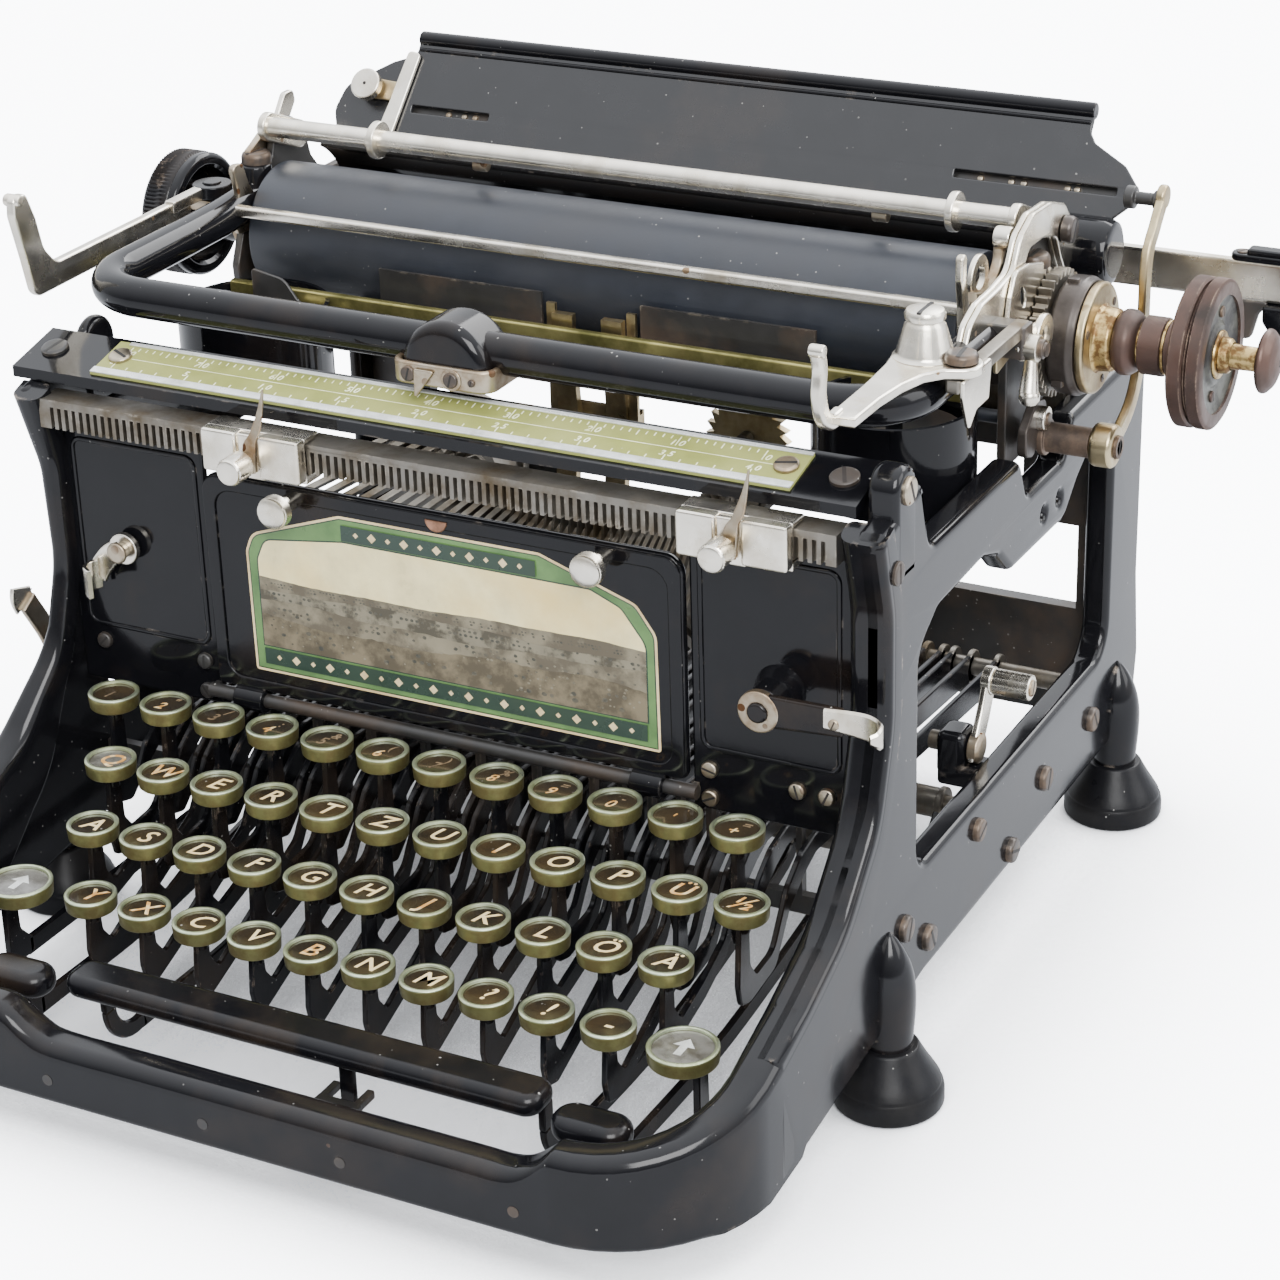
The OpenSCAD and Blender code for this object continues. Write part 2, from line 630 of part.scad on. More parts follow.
module lever_shafts() {
    color([0.5, 0.5, 0.5]) union() {
        rod_x(-side_in, side_in, key_shaft_y, key_shaft_z, shaft_r);
        rod_x(-side_in, side_in, low_shaft[0], low_shaft[1], shaft_r);
        rod_x(-side_in, side_in, shift_shaft[0], shift_shaft[1], shaft_r);
    }
}
// Side outline of a key lever with its stem, for a key at y with its top at z
function key_lever_outline(y, z, foot) = let(
    lower = [for (p = [[-44, 54], [-54, 40], [-68, 34], [-84, 27]]) if (p[0] > y + 9 && p[1] > foot) p])
    concat([[key_shaft_y, key_shaft_z + 4.5], [-26, 69], [-36, 67], [-45, 61]],
        [for (p = lower) if (p[0] < -50) [p[0] - 1, p[1] + 6]],
        [[y + 7, foot + 7], [y + 3.2, foot + 12], [y + 2.6, z - key_ring_h], [y - 2.6, z - key_ring_h],
            [y - 4, foot + 8], [y - 2.5, foot + 1.5], [y + 3, foot]],
        [for (i = [len(lower) - 1:-1:0]) lower[i]], [[-34, 60], [-26, 63], [key_shaft_y, key_shaft_z - 4.5]]);
module key_action(x, y, z, foot) {
    color([0.1, 0.1, 0.1]) union() {
        difference() {
            union() {
                plate_x(x - lever_t / 2, lever_t, key_lever_outline(y, z, foot));
                rod_x(x - lever_t / 2, x + lever_t / 2, key_shaft_y, key_shaft_z, 5.5);
            }
            rod_x(x - lever_t, x + lever_t, key_shaft_y, key_shaft_z, shaft_r + run_gap);
        }
        difference() {
            rod_z(z - key_ring_h, z, x, y, key_r);
            rod_z(z - 1.3, z + 1, x, y, key_r - 1.3);
        }
    }
}
module key_row(row, skip = -1) {
    r = key_rows[row];
    for (i = [0:r[3] - 1]) if (i != skip) key_action(lever_x(row, i), r[1], r[2], stem_foot[row]);
}
module key_row_1() {
    key_row(0);
}
module key_row_2() {
    key_row(1);
}
module key_row_3() {
    key_row(2, h_index);
}
module key_row_4() {
    key_row(3);
}
module key_h() {
    key_action(lever_x(2, h_index), key_rows[2][1], key_rows[2][2], stem_foot[2]);
}
// A low lever from a front key back to a shaft, given as side points
module lever_solid(x, path, w, shaft, hub = 5.5) {
    plate_x(x - 1.1, 2.2, band(path, w));
    rod_x(x - 1.1, x + 1.1, shaft[0], shaft[1], hub);
}
module low_lever(x, path, w, shaft) {
    difference() {
        lever_solid(x, path, w, shaft);
        rod_x(x - 3, x + 3, shaft[0], shaft[1], shaft_r + run_gap);
    }
}
module shift_keys() {
    x0 = shift_lever_x[0];
    x1 = shift_lever_x[1];
    color([0.1, 0.1, 0.1]) union() {
        difference() {
            union() {
                for (k = [0, 1]) let(y = k == 0 ? shift_left[1] : shift_right[1])
                    lever_solid(shift_lever_x[k], [shift_shaft, [44, 26], [30, 22], [-60, 20], [y + 6, 20]],
                        6, shift_shaft);
                rod_x(x0, x1, shift_shaft[0], shift_shaft[1], 4.8);
            }
            rod_x(x0 - 5, x1 + 5, shift_shaft[0], shift_shaft[1], shaft_r + run_gap);
        }
        for (k = [0, 1]) let(y = k == 0 ? shift_left[1] : shift_right[1],
            kx = k == 0 ? shift_left[0] : shift_right[0]) {
            plate_x(shift_lever_x[k] - 1.1, 2.2, [[y + 8, 17.5], [y + 8, 22.5], [y + 3, 28], [y + 3, shift_z - 4],
                [y - 3, shift_z - 4], [y - 3, 22], [y, 17.5]]);
            difference() {
                rod_z(shift_z - key_ring_h, shift_z, kx, y, shift_r);
                rod_z(shift_z - 1.3, shift_z + 1, kx, y, shift_r - 1.3);
            }
        }
    }
}
module oval_key(x, lever_x) {
    color([0.06, 0.06, 0.06]) union() {
        low_lever(lever_x, [low_shaft, [14, 27], [-60, 17], [oval_y + 8, 17]], 6, low_shaft);
        plate_x(lever_x - 1.1, 2.2, [[oval_y + 10, 14], [oval_y + 10, 20], [oval_y + 3, 24],
            [oval_y + 3, oval_z - 7], [oval_y - 3, oval_z - 7], [oval_y - 3, 20], [oval_y + 2, 14]]);
        translate([x, oval_y, oval_z - 8]) linear_extrude(8) polygon(rounded([
            [-oval_len / 2, -oval_w / 2, 6.4], [oval_len / 2, -oval_w / 2, 6.4], [oval_len / 2, oval_w / 2, 6.4],
            [-oval_len / 2, oval_w / 2, 6.4]], 6));
    }
}
module backspace_key() {
    oval_key(backspace_x, backspace_lever_x);
}
module tabulator_key() {
    oval_key(tabulator_x, tabulator_lever_x);
}
module space_bar() {
    color([0.06, 0.06, 0.06]) union() {
        box([space_x - space_len / 2, space_y - space_w / 2, space_z - 7],
            [space_x + space_len / 2, space_y + space_w / 2, space_z]);
        for (x = space_arm_x) {
            low_lever(x, [low_shaft, [14, 26], [-60, 14], [space_y + 16.5, 13.8]], 5.5, low_shaft);
            plate_x(x - 1.1, 2.2, concat(arc([space_y + 14, space_z - 14], 14, -70, -180, 8),
                [[space_y, space_z - 6], [space_y + 5, space_z - 6]],
                arc([space_y + 14, space_z - 14], 9, -180, -70, 8)));
        }
        box([16.5, space_y - 1, 10], [21.5, space_y + 1.2, space_z - 6]);
    }
}
module spring_drum() {
    color([0.35, 0.33, 0.3]) difference() {
        union() {
            rod_y(112, 116, drum_at[0], drum_at[1], 22);
            rod_y(115, 131, drum_at[0], drum_at[1], 20);
            rod_y(130, 134, drum_at[0], drum_at[1], 22);
        }
        rod_y(108, 139.7, drum_at[0], drum_at[1], 4 + run_gap);
    }
}
module escape_wheel() {
    color([0.7, 0.65, 0.5]) translate([wheel_at[0], 124, wheel_at[1]]) rotate([-90, 0, 0]) difference() {
        union() {
            linear_extrude(3) polygon([for (i = [0:23]) each [15 * [cos(15 * i), sin(15 * i)],
                12 * [cos(15 * i + 3), sin(15 * i + 3)]]]);
            cylinder(h = 8, r = 8);
        }
        translate([0, 0, -1]) cylinder(h = 12, r = 2.5 + run_gap);
    }
}

module carriage_bed() {
    color([0.08, 0.08, 0.08]) union() {
        box([-end_in, bed_front_y, track_top + slide_gap], [end_in, bed_back_y, bed_top]);
        box([-end_in, bed_front_y, bed_lip_z], [end_in, 108 - slide_gap, track_top + 1]);
        box([-end_in, 134 + slide_gap, bed_lip_z], [end_in, bed_back_y, track_top + 1]);
    }
}
function end_outline() = rounded([[62.5, track_bottom, 4], [82, track_bottom, 4], [86, track_top - 2, 4],
    [100, track_top + 1.5, 0], [bed_back_y, track_top + 1.5, 0],
    [bed_back_y, 197, 2], [113, 197, 2], [107, 204, 3], [104, 216, 5], [96, 221, 5], [88, 216, 5], [84, 209, 3],
    [70, 207.5, 2], [tube_end_y, 208, 2], [tube_end_y, 190.5, 2], [62.5, 190.5, 2]]);
module carriage_ends() {
    color([0.6, 0.56, 0.48]) union() {
        for (s = [-1, 1]) difference() {
            union() {
                plate_x(s > 0 ? end_in : -end_out, end_t, end_outline());
                rod_z(206, s < 0 ? 212.5 : 210, s * (end_out - end_t / 2), 79, 5);
            }
            rod_x(-end_out - 1, end_out + 1, axis_y, axis_z, axle_r + run_gap);
            rod_x(-end_out - 1, end_out + 1, bail_pivot[0], bail_pivot[1], 2.5 + run_gap);
        }
        rod_x(end_out - 1, arm_x + 4, arm_pivot[0], arm_pivot[1], 3.5);
        box([left_pivot[0] - 6, left_pivot[1] - 5.5, lug_z - 4], [-end_out + 1, left_pivot[1] + 7, lug_z]);
        rod_z(lug_z - 1, lug_z + 8, left_pivot[0], left_pivot[1], shaft_r);
        box([end_out + 5, right_pivot[1] - 6, right_lug_z - 6], [end_out + 11, 46, right_lug_z]);
        box([end_out - 1, tube_end_y, right_lug_z - 10], [end_out + 11, 46, right_lug_z]);
        rod_z(right_lug_z - 1, right_lug_z + 6, right_pivot[0], right_pivot[1], shaft_r);
    }
}
tube_bend = 20;
// One end of the tube's U, from the bend back to the end plate
module tube_arm(x) {
    s = x < 0 ? -1 : 1;
    translate([x - s * tube_bend, tube_y + tube_bend, tube_z]) rotate([0, 0, s > 0 ? -90 : 180])
        rotate_extrude(angle = 90) translate([tube_bend, 0]) circle(r = tube_r);
    rod_y(tube_y + tube_bend, tube_end_y, x, tube_z, tube_r);
}
module front_tube() {
    color([0.05, 0.05, 0.05]) union() {
        rod_x(tube_left + tube_bend, tube_right - tube_bend, tube_y, tube_z, tube_r);
        tube_arm(tube_left);
        tube_arm(tube_right);
    }
}
module centre_hood() {
    color([0.06, 0.06, 0.06]) difference() {
        union() {
            plate_y(-31, 18.5, concat([[13.5, 190]], arc([-0.5, 194], 14, 0, 180, 16), [[-14.5, 190]]));
            translate([0, 0, 189.3]) linear_extrude(6.7) polygon(rounded([[-17, -32.5, 4], [16, -32.5, 4],
                [16, -11.5, 1], [-17, -11.5, 1]]));
            plate_y(-33.7, 1.4, [[-9, 194.5], [-1.5, 194.5], [-6.4, 187.4], [-7.6, 186.3], [-8.6, 186.3]]);
        }
        rod_x(-30, 30, tube_y, tube_z, tube_r + run_gap);
    }
}
module rear_rail() {
    x0 = -125;
    x1 = x0 + rear_rail_len;
    color([0.75, 0.7, 0.62]) union() {
        box([x0, bed_back_y, 184], [x1, bed_back_y + 3.5, 197]);
        box([x1 - 32, bed_back_y - 1, 196.5], [x1 - 20, bed_back_y + 4.5, 201]);
        box([x1 - 22, bed_back_y - 3, 172], [x1 - 4, bed_back_y + 3.5, 185]);
    }
}
module paper_rod() {
    color([0.8, 0.76, 0.68]) rod_x(-end_in, end_in, rod_y, rod_z, 1.8);
}
module feed_rollers() {
    color([0.1, 0.1, 0.1]) union() {
        rod_x(-end_in + slide_gap, end_in - slide_gap, 68, 164.3, 2);
        for (x = [-90, -20, 50]) rod_x(x, x + 36, 68, 164.3, 5.7);
    }
}
// Turns its children so that local Y runs up the paper table and local Z is its front face
module on_table() {
    translate([0, table_foot[0], table_foot[1]]) rotate([table_angle, 0, 0]) children();
}
module paper_table() {
    r = table_left + table_w;
    color([0.06, 0.06, 0.06]) on_table() union() {
        difference() {
            translate([0, 0, -table_t]) linear_extrude(table_t) polygon(rounded([[table_left, table_rise, 0],
                [table_left, 40, 3], [-112, 37, 3], [-127, 27, 4], [-130, 20, 3], [-126, 8, 6], [-118, -3, 0],
                [r - 1.5, -3, 0], [r - 1.5, 1.5, 0], [r + 3, 3.5, 2], [r + 11, 12, 4], [r + 18, 19, 3],
                [r + 18, 24, 4], [r + 13, 30, 3], [r + 2, 36, 3],
                [r, 39, 2], [r, table_rise, 0]]));
            box([-101, 20.5, -5], [-72, 22.8, 5]);
            box([r - 40, 20.5, -5], [r + 12, 22.8, 5]);
        }
        translate([table_left, table_rise, -1]) rotate([0, 90, 0]) cylinder(h = table_w, r = 2.6);
        rotate([-table_angle, 0, 0]) translate([0, -table_foot[0], -table_foot[1]])
            rod_x(end_out + 0.6, end_out + 11, 115, 202, 10.5);
    }
}
module paper_guide() {
    color([0.8, 0.76, 0.68]) on_table() translate([0, 0, slide_gap]) union() {
        linear_extrude(1.2) polygon([[-112, 8], [-106, 8], [-101, 42], [-107, 42]]);
        box([-119, 24, 0], [-106, 29.5, 1.2]);
        translate([-117, 26.6, 1]) cylinder(h = 5, r = 5.3);
        translate([-117, 26.6, 0]) cylinder(h = 2, r = 3);
    }
}
module paper_bail() {
    color([0.8, 0.76, 0.68]) union() {
        rod_x(-end_in + slide_gap, end_in - slide_gap, bail_rod[0], bail_rod[1], 3.2);
        for (x = [-end_in + 42, end_in - 22]) rod_x(x, x + 2.5, bail_rod[0], bail_rod[1], 6);
        for (s = [-1, 1]) {
            plate_x(s > 0 ? end_in - 3.3 : -end_in + slide_gap, 3, concat(arc(bail_rod, 4.6, 60, 240, 8),
                arc(bail_pivot, 4.6, -120, 60, 8)));
            rod_x(s > 0 ? end_in - 1 : -end_out - 1, s > 0 ? end_out + 1 : -end_in + 1,
                bail_pivot[0], bail_pivot[1], 2.5);
        }
    }
}
module platen() {
    color([0.09, 0.1, 0.11]) union() {
        rod_x(platen_left, platen_right, axis_y, axis_z, platen_r);
        rod_x(knob_left_out + 2.2, knob_right_out - 11, axis_y, axis_z, axle_r);
    }
}
module ratchet_wheel() {
    color([0.15, 0.14, 0.13]) difference() {
        union() {
            translate([end_out + 2.6, axis_y, axis_z]) rotate([0, 90, 0]) linear_extrude(4)
                polygon([for (i = [0:35]) each [19 * [cos(10 * i), sin(10 * i)], 17 * [cos(10 * i + 4), sin(10 * i + 4)]]]);
            rod_x(end_out + 6.4, hub_out, axis_y, axis_z, 16.5);
        }
        rod_x(end_out, hub_out + 1, axis_y, axis_z, axle_r + run_gap);
    }
}
module knob_left() {
    color([0.05, 0.05, 0.05]) difference() {
        union() {
            rod_x(knob_left_out, knob_left_out + 13, axis_y, axis_z, knob_left_r);
            rod_x(knob_left_out + 12, -end_out - slide_gap, axis_y, axis_z, 9);
        }
        rod_x(knob_left_out + 2, -end_out, axis_y, axis_z, axle_r + run_gap);
        rod_x(knob_left_out - 1, knob_left_out + 1.6, axis_y, axis_z, knob_left_r - 4);
    }
}
module knob_right() {
    out = knob_right_out;
    color([0.35, 0.2, 0.15]) difference() {
        union() {
            rod_x(hub_out, hub_out + 3, axis_y, axis_z, 17.5);
            rod_x(hub_out + 2.5, hub_out + 15, axis_y, axis_z, 10);
            rod_x(hub_out + 14.5, out - 9, axis_y, axis_z, 8);
            rod_x(out - 10, out - 5.6, axis_y, axis_z, knob_right_r);
            rod_x(out - 5.8, out - 4.2, axis_y, axis_z, knob_right_r - 1.6);
            rod_x(out - 4.4, out, axis_y, axis_z, knob_right_r);
        }
        rod_x(hub_out - 1, out - 10.8, axis_y, axis_z, axle_r + run_gap);
        rod_x(out - 11.5, out + 1, axis_y, axis_z, plunger_r + run_gap);
    }
}
module clutch_plunger() {
    color([0.6, 0.45, 0.3]) union() {
        rod_x(plunger_left, plunger_left + 17, axis_y, axis_z, plunger_r);
        rod_x(plunger_left + 16, plunger_left + 19, axis_y, axis_z, 9);
        rod_x(plunger_left + 18.9, plunger_left + 21, axis_y, axis_z, 6.5);
    }
}
module return_lever() {
    p = left_pivot;
    z0 = lug_z + slide_gap;
    color([0.8, 0.77, 0.7]) difference() {
        union() {
            rod_z(z0, z0 + 4, p[0], p[1], 6.5);
            box([p[0] - 3.5, -22, 195], [p[0] - 0.5, p[1] - 12, 203]);
            box([p[0] - 3.5, p[1] - 20, z0], [p[0] + 0.5, p[1], z0 + 4]);
            plate_x(p[0] - 4.5, 3.4, [[-16, 195], [-14, 203], [-21, 209], [-25, 226], [-31, 228], [-32, 223], [-27, 205], [-25, 195]]);
        }
        rod_z(z0 - 6, z0 + 12, p[0], p[1], shaft_r + run_gap);
    }
}
module release_lever() {
    p = right_pivot;
    z0 = right_lug_z + slide_gap;
    color([0.8, 0.77, 0.7]) difference() {
        union() {
            translate([0, 0, z0]) linear_extrude(3) polygon(concat(arc(p, 6, -60, 120, 8), [[p[0] - 10, 9]],
                arc([p[0] - 11, 0], 9, 90, 180, 6), [[p[0] - 17, -30], [p[0] - 17, -54]],
                arc([p[0] - 11.5, -54], 6.5, 180, 360, 8), [[p[0] - 6, -30], [p[0] - 4, -10]]));
            translate([p[0] - 11, 0, z0 + 2.5]) cylinder(h = 11, r1 = 8, r2 = 5.2);
            rod_z(z0 + 13, z0 + 15.5, p[0] - 11, 0, 5.6);
            plate_x(p[0] - 18, 4, [[-52, z0], [-50, z0 + 3], [-56, z0 + 10], [-55, z0 + 23], [-58, z0 + 26], [-61, z0 + 22], [-62, z0 + 9],
                [-58, z0]]);
        }
        rod_z(z0 - 3, z0 + 8, p[0], p[1], shaft_r + run_gap);
    }
}
module table_arm() {
    p = arm_pivot;
    color([0.65, 0.55, 0.35]) difference() {
        union() {
            plate_x(arm_x, 2.6, band([p, [90, 166], [98, 182], [99.5, 206], [106, 215], [114, 223]], 5));
            rod_x(arm_x - 4, arm_x + 3, p[0], p[1], 6.5);
            rod_x(arm_x - 8, arm_x + 2, 112, 221, 2);
        }
        rod_x(arm_x - 5, arm_x + 5, p[0], p[1], 3.5 + run_gap);
    }
}

module place() {
    translate(frame_shift) children();
}
place() side_plate_left();
place() side_plate_right();
place() front_rail();
place() rear_frame();
place() front_panels();
place() front_cover();
place() cover_knobs();
place() cover_rod();
place() top_bar();
place() margin_scale();
place() margin_rack();
place() margin_stop_left();
place() margin_stop_right();
place() frame_screws();
place() rubber_feet();
place() panel_lever_left();
place() panel_lever_right();
place() side_lever();
place() ribbon_crank();
place() spool_cups();
place() ribbon_spool_left();
place() ribbon_spool_right();
place() segment();
place() type_bars();
place() type_bar_h();
place() type_guide();
place() ribbon_vibrator();
place() card_plates();
place() key_comb();
place() lever_shafts();
place() key_row_1();
place() key_row_2();
place() key_row_3();
place() key_row_4();
place() key_h();
place() space_bar();
place() shift_keys();
place() backspace_key();
place() tabulator_key();
place() carriage_track();
place() spring_drum();
place() escape_wheel();
place() carriage_bed();
place() carriage_ends();
place() front_tube();
place() centre_hood();
place() rear_rail();
place() paper_rod();
place() feed_rollers();
place() paper_table();
place() paper_guide();
place() paper_bail();
place() platen();
place() ratchet_wheel();
place() knob_left();
place() knob_right();
place() clutch_plunger();
place() return_lever();
place() release_lever();
place() table_arm();
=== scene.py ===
"""Manual office typewriter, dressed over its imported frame. Shapes are written in millimetres in the
part's own frame and moved to the row frame, in metres, when a piece is made."""
import math
import random

import bpy
from mathutils import Matrix, Vector, geometry


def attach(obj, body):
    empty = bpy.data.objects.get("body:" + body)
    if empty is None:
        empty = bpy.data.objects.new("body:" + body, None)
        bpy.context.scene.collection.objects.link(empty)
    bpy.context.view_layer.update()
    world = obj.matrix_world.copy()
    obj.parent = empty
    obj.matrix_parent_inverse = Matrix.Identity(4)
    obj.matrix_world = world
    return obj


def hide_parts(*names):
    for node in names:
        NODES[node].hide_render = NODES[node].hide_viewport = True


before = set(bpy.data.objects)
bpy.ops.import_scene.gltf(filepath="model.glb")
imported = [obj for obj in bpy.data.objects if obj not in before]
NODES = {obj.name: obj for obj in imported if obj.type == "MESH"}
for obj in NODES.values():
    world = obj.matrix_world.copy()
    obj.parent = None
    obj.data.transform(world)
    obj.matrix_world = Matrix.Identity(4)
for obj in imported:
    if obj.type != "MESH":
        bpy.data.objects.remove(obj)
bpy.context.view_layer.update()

SHIFT = Vector((-19.5, -1.0, 0.0))  # from the part's own frame to the row frame, mm
PHOTO = 1280  # px, its long side


def at(x, y, z):
    """A point of the part in the row frame, in metres."""
    return (Vector((x, y, z)) + SHIFT) / 1000


class Tree:
    """Short calls for building nodes in a material or a group."""

    def __init__(self, tree):
        self.tree = tree

    def add(self, kind, inputs=None, **settings):
        node = self.tree.nodes.new(kind)
        for key, value in settings.items():
            setattr(node, key, value)
        for key, value in (inputs or {}).items():
            if isinstance(value, bpy.types.NodeSocket):
                self.tree.links.new(value, node.inputs[key])
            else:
                node.inputs[key].default_value = value
        return node

    def math(self, how, a, b=0.0, clamp=False):
        return self.add("ShaderNodeMath", {0: a, 1: b}, operation=how, use_clamp=clamp).outputs[0]

    def span(self, value, low, high, to_low=0.0, to_high=1.0):
        ins = {"Value": value, "From Min": low, "From Max": high, "To Min": to_low, "To Max": to_high}
        return self.add("ShaderNodeMapRange", ins).outputs[0]

    def noise(self, vector, scale, detail=3.0, rough=0.5):
        ins = {"Vector": vector, "Scale": scale, "Detail": detail, "Roughness": rough}
        return self.add("ShaderNodeTexNoise", ins).outputs[0]

    def mix(self, mask, a, b):
        node = self.add("ShaderNodeMix", data_type="RGBA", clamp_factor=True)
        for socket, value in ((node.inputs[0], mask), (node.inputs[6], a), (node.inputs[7], b)):
            if isinstance(value, bpy.types.NodeSocket):
                self.tree.links.new(value, socket)
            else:
                socket.default_value = value
        return node.outputs[2]


# ---------------------------------------------------------------- camera, room and light
PAPER_GLOW = 9.0
SHADE_REACH = 0.16  # m
SHADE_DEPTH = 2.6
# Name, place and aim in metres, size and power in watts
LAMPS = (
    ("key_light", (0.9, -1.2, 1.25), (0, 0, 0.12), (1.0, 1.0), 48),
    ("back_light", (0.5, 1.5, 1.3), (0.1, 0.1, 0.1), (1.8, 0.8), 36),
    ("side_light", (1.6, 0.4, 0.9), (0.1, 0.1, 0.1), (1.0, 1.0), 14))


def make_camera():
    """The photo's camera, fitted to key tops, scale ends and plate edges."""
    eye = at(441.93, -754.93, 509.69)
    right = Vector((0.89012, 0.45483, -0.02852))
    down = Vector((0.17216, -0.39355, -0.90304))
    ahead = Vector((-0.42195, 0.7989, -0.42861))
    data = bpy.data.cameras.new("camera")
    data.lens = 90.09
    data.sensor_width = 36.0
    data.shift_x = 0.96 / PHOTO
    data.shift_y = 1.99 / PHOTO
    data.clip_start = 0.05
    cam = bpy.data.objects.new("camera", data)
    turn = Matrix((right, -down, -ahead)).transposed().to_4x4()
    cam.matrix_world = Matrix.Translation(eye) @ turn
    bpy.context.scene.collection.objects.link(cam)
    bpy.context.scene.camera = cam


def make_lamp(name, place, aim, size, watts):
    data = bpy.data.lights.new(name, "AREA")
    data.shape = "RECTANGLE"
    data.size, data.size_y = size
    data.energy = watts
    lamp = bpy.data.objects.new(name, data)
    lamp.location = place
    lamp.rotation_euler = (Vector(aim) - Vector(place)).to_track_quat("-Z", "Y").to_euler()
    bpy.context.scene.collection.objects.link(lamp)


def make_room():
    world = bpy.data.worlds.new("studio")
    bpy.context.scene.world = world
    world.use_nodes = True
    t = Tree(world.node_tree)
    way = t.add("ShaderNodeSeparateXYZ", {0: t.add("ShaderNodeTexCoord").outputs["Generated"]}).outputs
    ramp = t.span(way["Y"], -1.0, 0.4, 0.30, 1.7)
    top = t.span(way["Z"], 0.1, 1.0, 0.0, 2.4)
    back = world.node_tree.nodes["Background"]
    world.node_tree.links.new(t.math("ADD", ramp, top), back.inputs["Strength"])
    back.inputs["Color"].default_value = (0.93, 0.955, 1.0, 1)
    mesh = bpy.data.meshes.new("floor")
    mesh.from_pydata([(-4, -4, 0), (4, -4, 0), (4, 6, 0), (-4, 6, 0)], [], [(0, 1, 2, 3)])
    floor = bpy.data.objects.new("floor", mesh)
    bpy.context.scene.collection.objects.link(floor)
    paint = bpy.data.materials.new("floor_paper")
    paint.use_nodes = True
    shader = paint.node_tree.nodes["Principled BSDF"]
    shader.inputs["Base Color"].default_value = (0.50, 0.51, 0.53, 1)
    shader.inputs["Roughness"].default_value = 0.9
    shader.inputs["Emission Color"].default_value = (0.96, 0.975, 1.0, 1)
    # The paper is burnt out to white in the picture, but not in what the enamel mirrors nor in the shade
    t = Tree(paint.node_tree)
    # Painted light and shade: the paper glows for camera rays only, and ambient occlusion dims that glow into
    # a painted shade under and around the machine
    glow = t.math("MULTIPLY", t.add("ShaderNodeLightPath").outputs["Is Camera Ray"], PAPER_GLOW)
    shade = t.add("ShaderNodeAmbientOcclusion", {"Distance": SHADE_REACH}, samples=8).outputs["AO"]
    lit = t.math("MULTIPLY", t.math("POWER", shade, SHADE_DEPTH), glow)
    paint.node_tree.links.new(lit, shader.inputs["Emission Strength"])
    mesh.materials.append(paint)
    for name, place, aim, size, watts in LAMPS:
        make_lamp(name, place, aim, size, watts)


make_camera()
make_room()


# ---------------------------------------------------------------- shader groups
def effect(name, inputs, outputs, build):
    """A shader node group: inputs and outputs are {name: kind}, with a start value for an input."""
    group = bpy.data.node_groups.new(name, "ShaderNodeTree")
    for key, start in inputs.items():
        kind = "NodeSocketColor" if isinstance(start, tuple) else "NodeSocketFloat"
        socket = group.interface.new_socket(name=key, in_out="INPUT", socket_type=kind)
        socket.default_value = start
    for key, kind in outputs.items():
        group.interface.new_socket(name=key, in_out="OUTPUT", socket_type=kind)
    t = Tree(group)
    source = t.add("NodeGroupInput")
    sink = t.add("NodeGroupOutput")
    for key, socket in build(t, source.outputs).items():
        group.links.new(socket, sink.inputs[key])
    return group


def edge_wear(t, given):
    """1 on worn edges, broken up by noise."""
    place = t.add("ShaderNodeTexCoord").outputs["Object"]
    bevel = t.add("ShaderNodeBevel", {"Radius": given["Width"]}, samples=6).outputs[0]
    normal = t.add("ShaderNodeNewGeometry").outputs["Normal"]
    flat = t.add("ShaderNodeVectorMath", {0: bevel, 1: normal}, operation="DOT_PRODUCT").outputs["Value"]
    edge = t.span(flat, 0.985, 0.86)
    blots = t.noise(place, given["Scale"], 4.0, 0.65)
    keep = t.span(t.math("ADD", blots, given["Amount"]), 0.78, 0.92)
    return {"Mask": t.math("MULTIPLY", edge, keep, True)}


def blotches(t, given):
    """Soft blots of one size, from 0 to 1."""
    place = t.add("ShaderNodeTexCoord").outputs["Object"]
    big = t.noise(place, given["Scale"], 5.0, 0.62)
    return {"Mask": t.span(big, given["Low"], given["High"])}


def specks(t, given):
    """Small scattered spots, such as dust, pits or chips."""
    place = t.add("ShaderNodeTexCoord").outputs["Object"]
    cells = t.add("ShaderNodeTexVoronoi", {"Vector": place, "Scale": given["Scale"]})
    size = t.math("MULTIPLY", t.add("ShaderNodeSeparateColor", {0: cells.outputs["Color"]}).outputs[0],
        given["Size"])
    spot = t.math("LESS_THAN", cells.outputs["Distance"], size)
    patch = t.span(t.noise(place, 35.0, 2.0), 0.62, 0.48)
    few = t.math("LESS_THAN", t.add("ShaderNodeSeparateColor", {0: cells.outputs["Color"]}).outputs[1],
        given["Share"])
    return {"Mask": t.math("MULTIPLY", t.math("MULTIPLY", spot, few), patch, True)}


FLOAT = "NodeSocketFloat"
WEAR = effect("edge_wear", {"Width": 0.0012, "Amount": 0.3, "Scale": 160.0}, {"Mask": FLOAT}, edge_wear)
BLOTS = effect("blotches", {"Scale": 40.0, "Low": 0.45, "High": 0.65}, {"Mask": FLOAT}, blotches)
SPECKS = effect("specks", {"Scale": 700.0, "Size": 0.3, "Share": 0.1}, {"Mask": FLOAT}, specks)


DUST_GREY = (0.42, 0.41, 0.38)


def rgba(colour):
    return tuple(colour) + (1.0,)


def filled(given, defaults):
    """The given values, then the defaults of those left out."""
    return tuple(given) + tuple(defaults[len(given):])


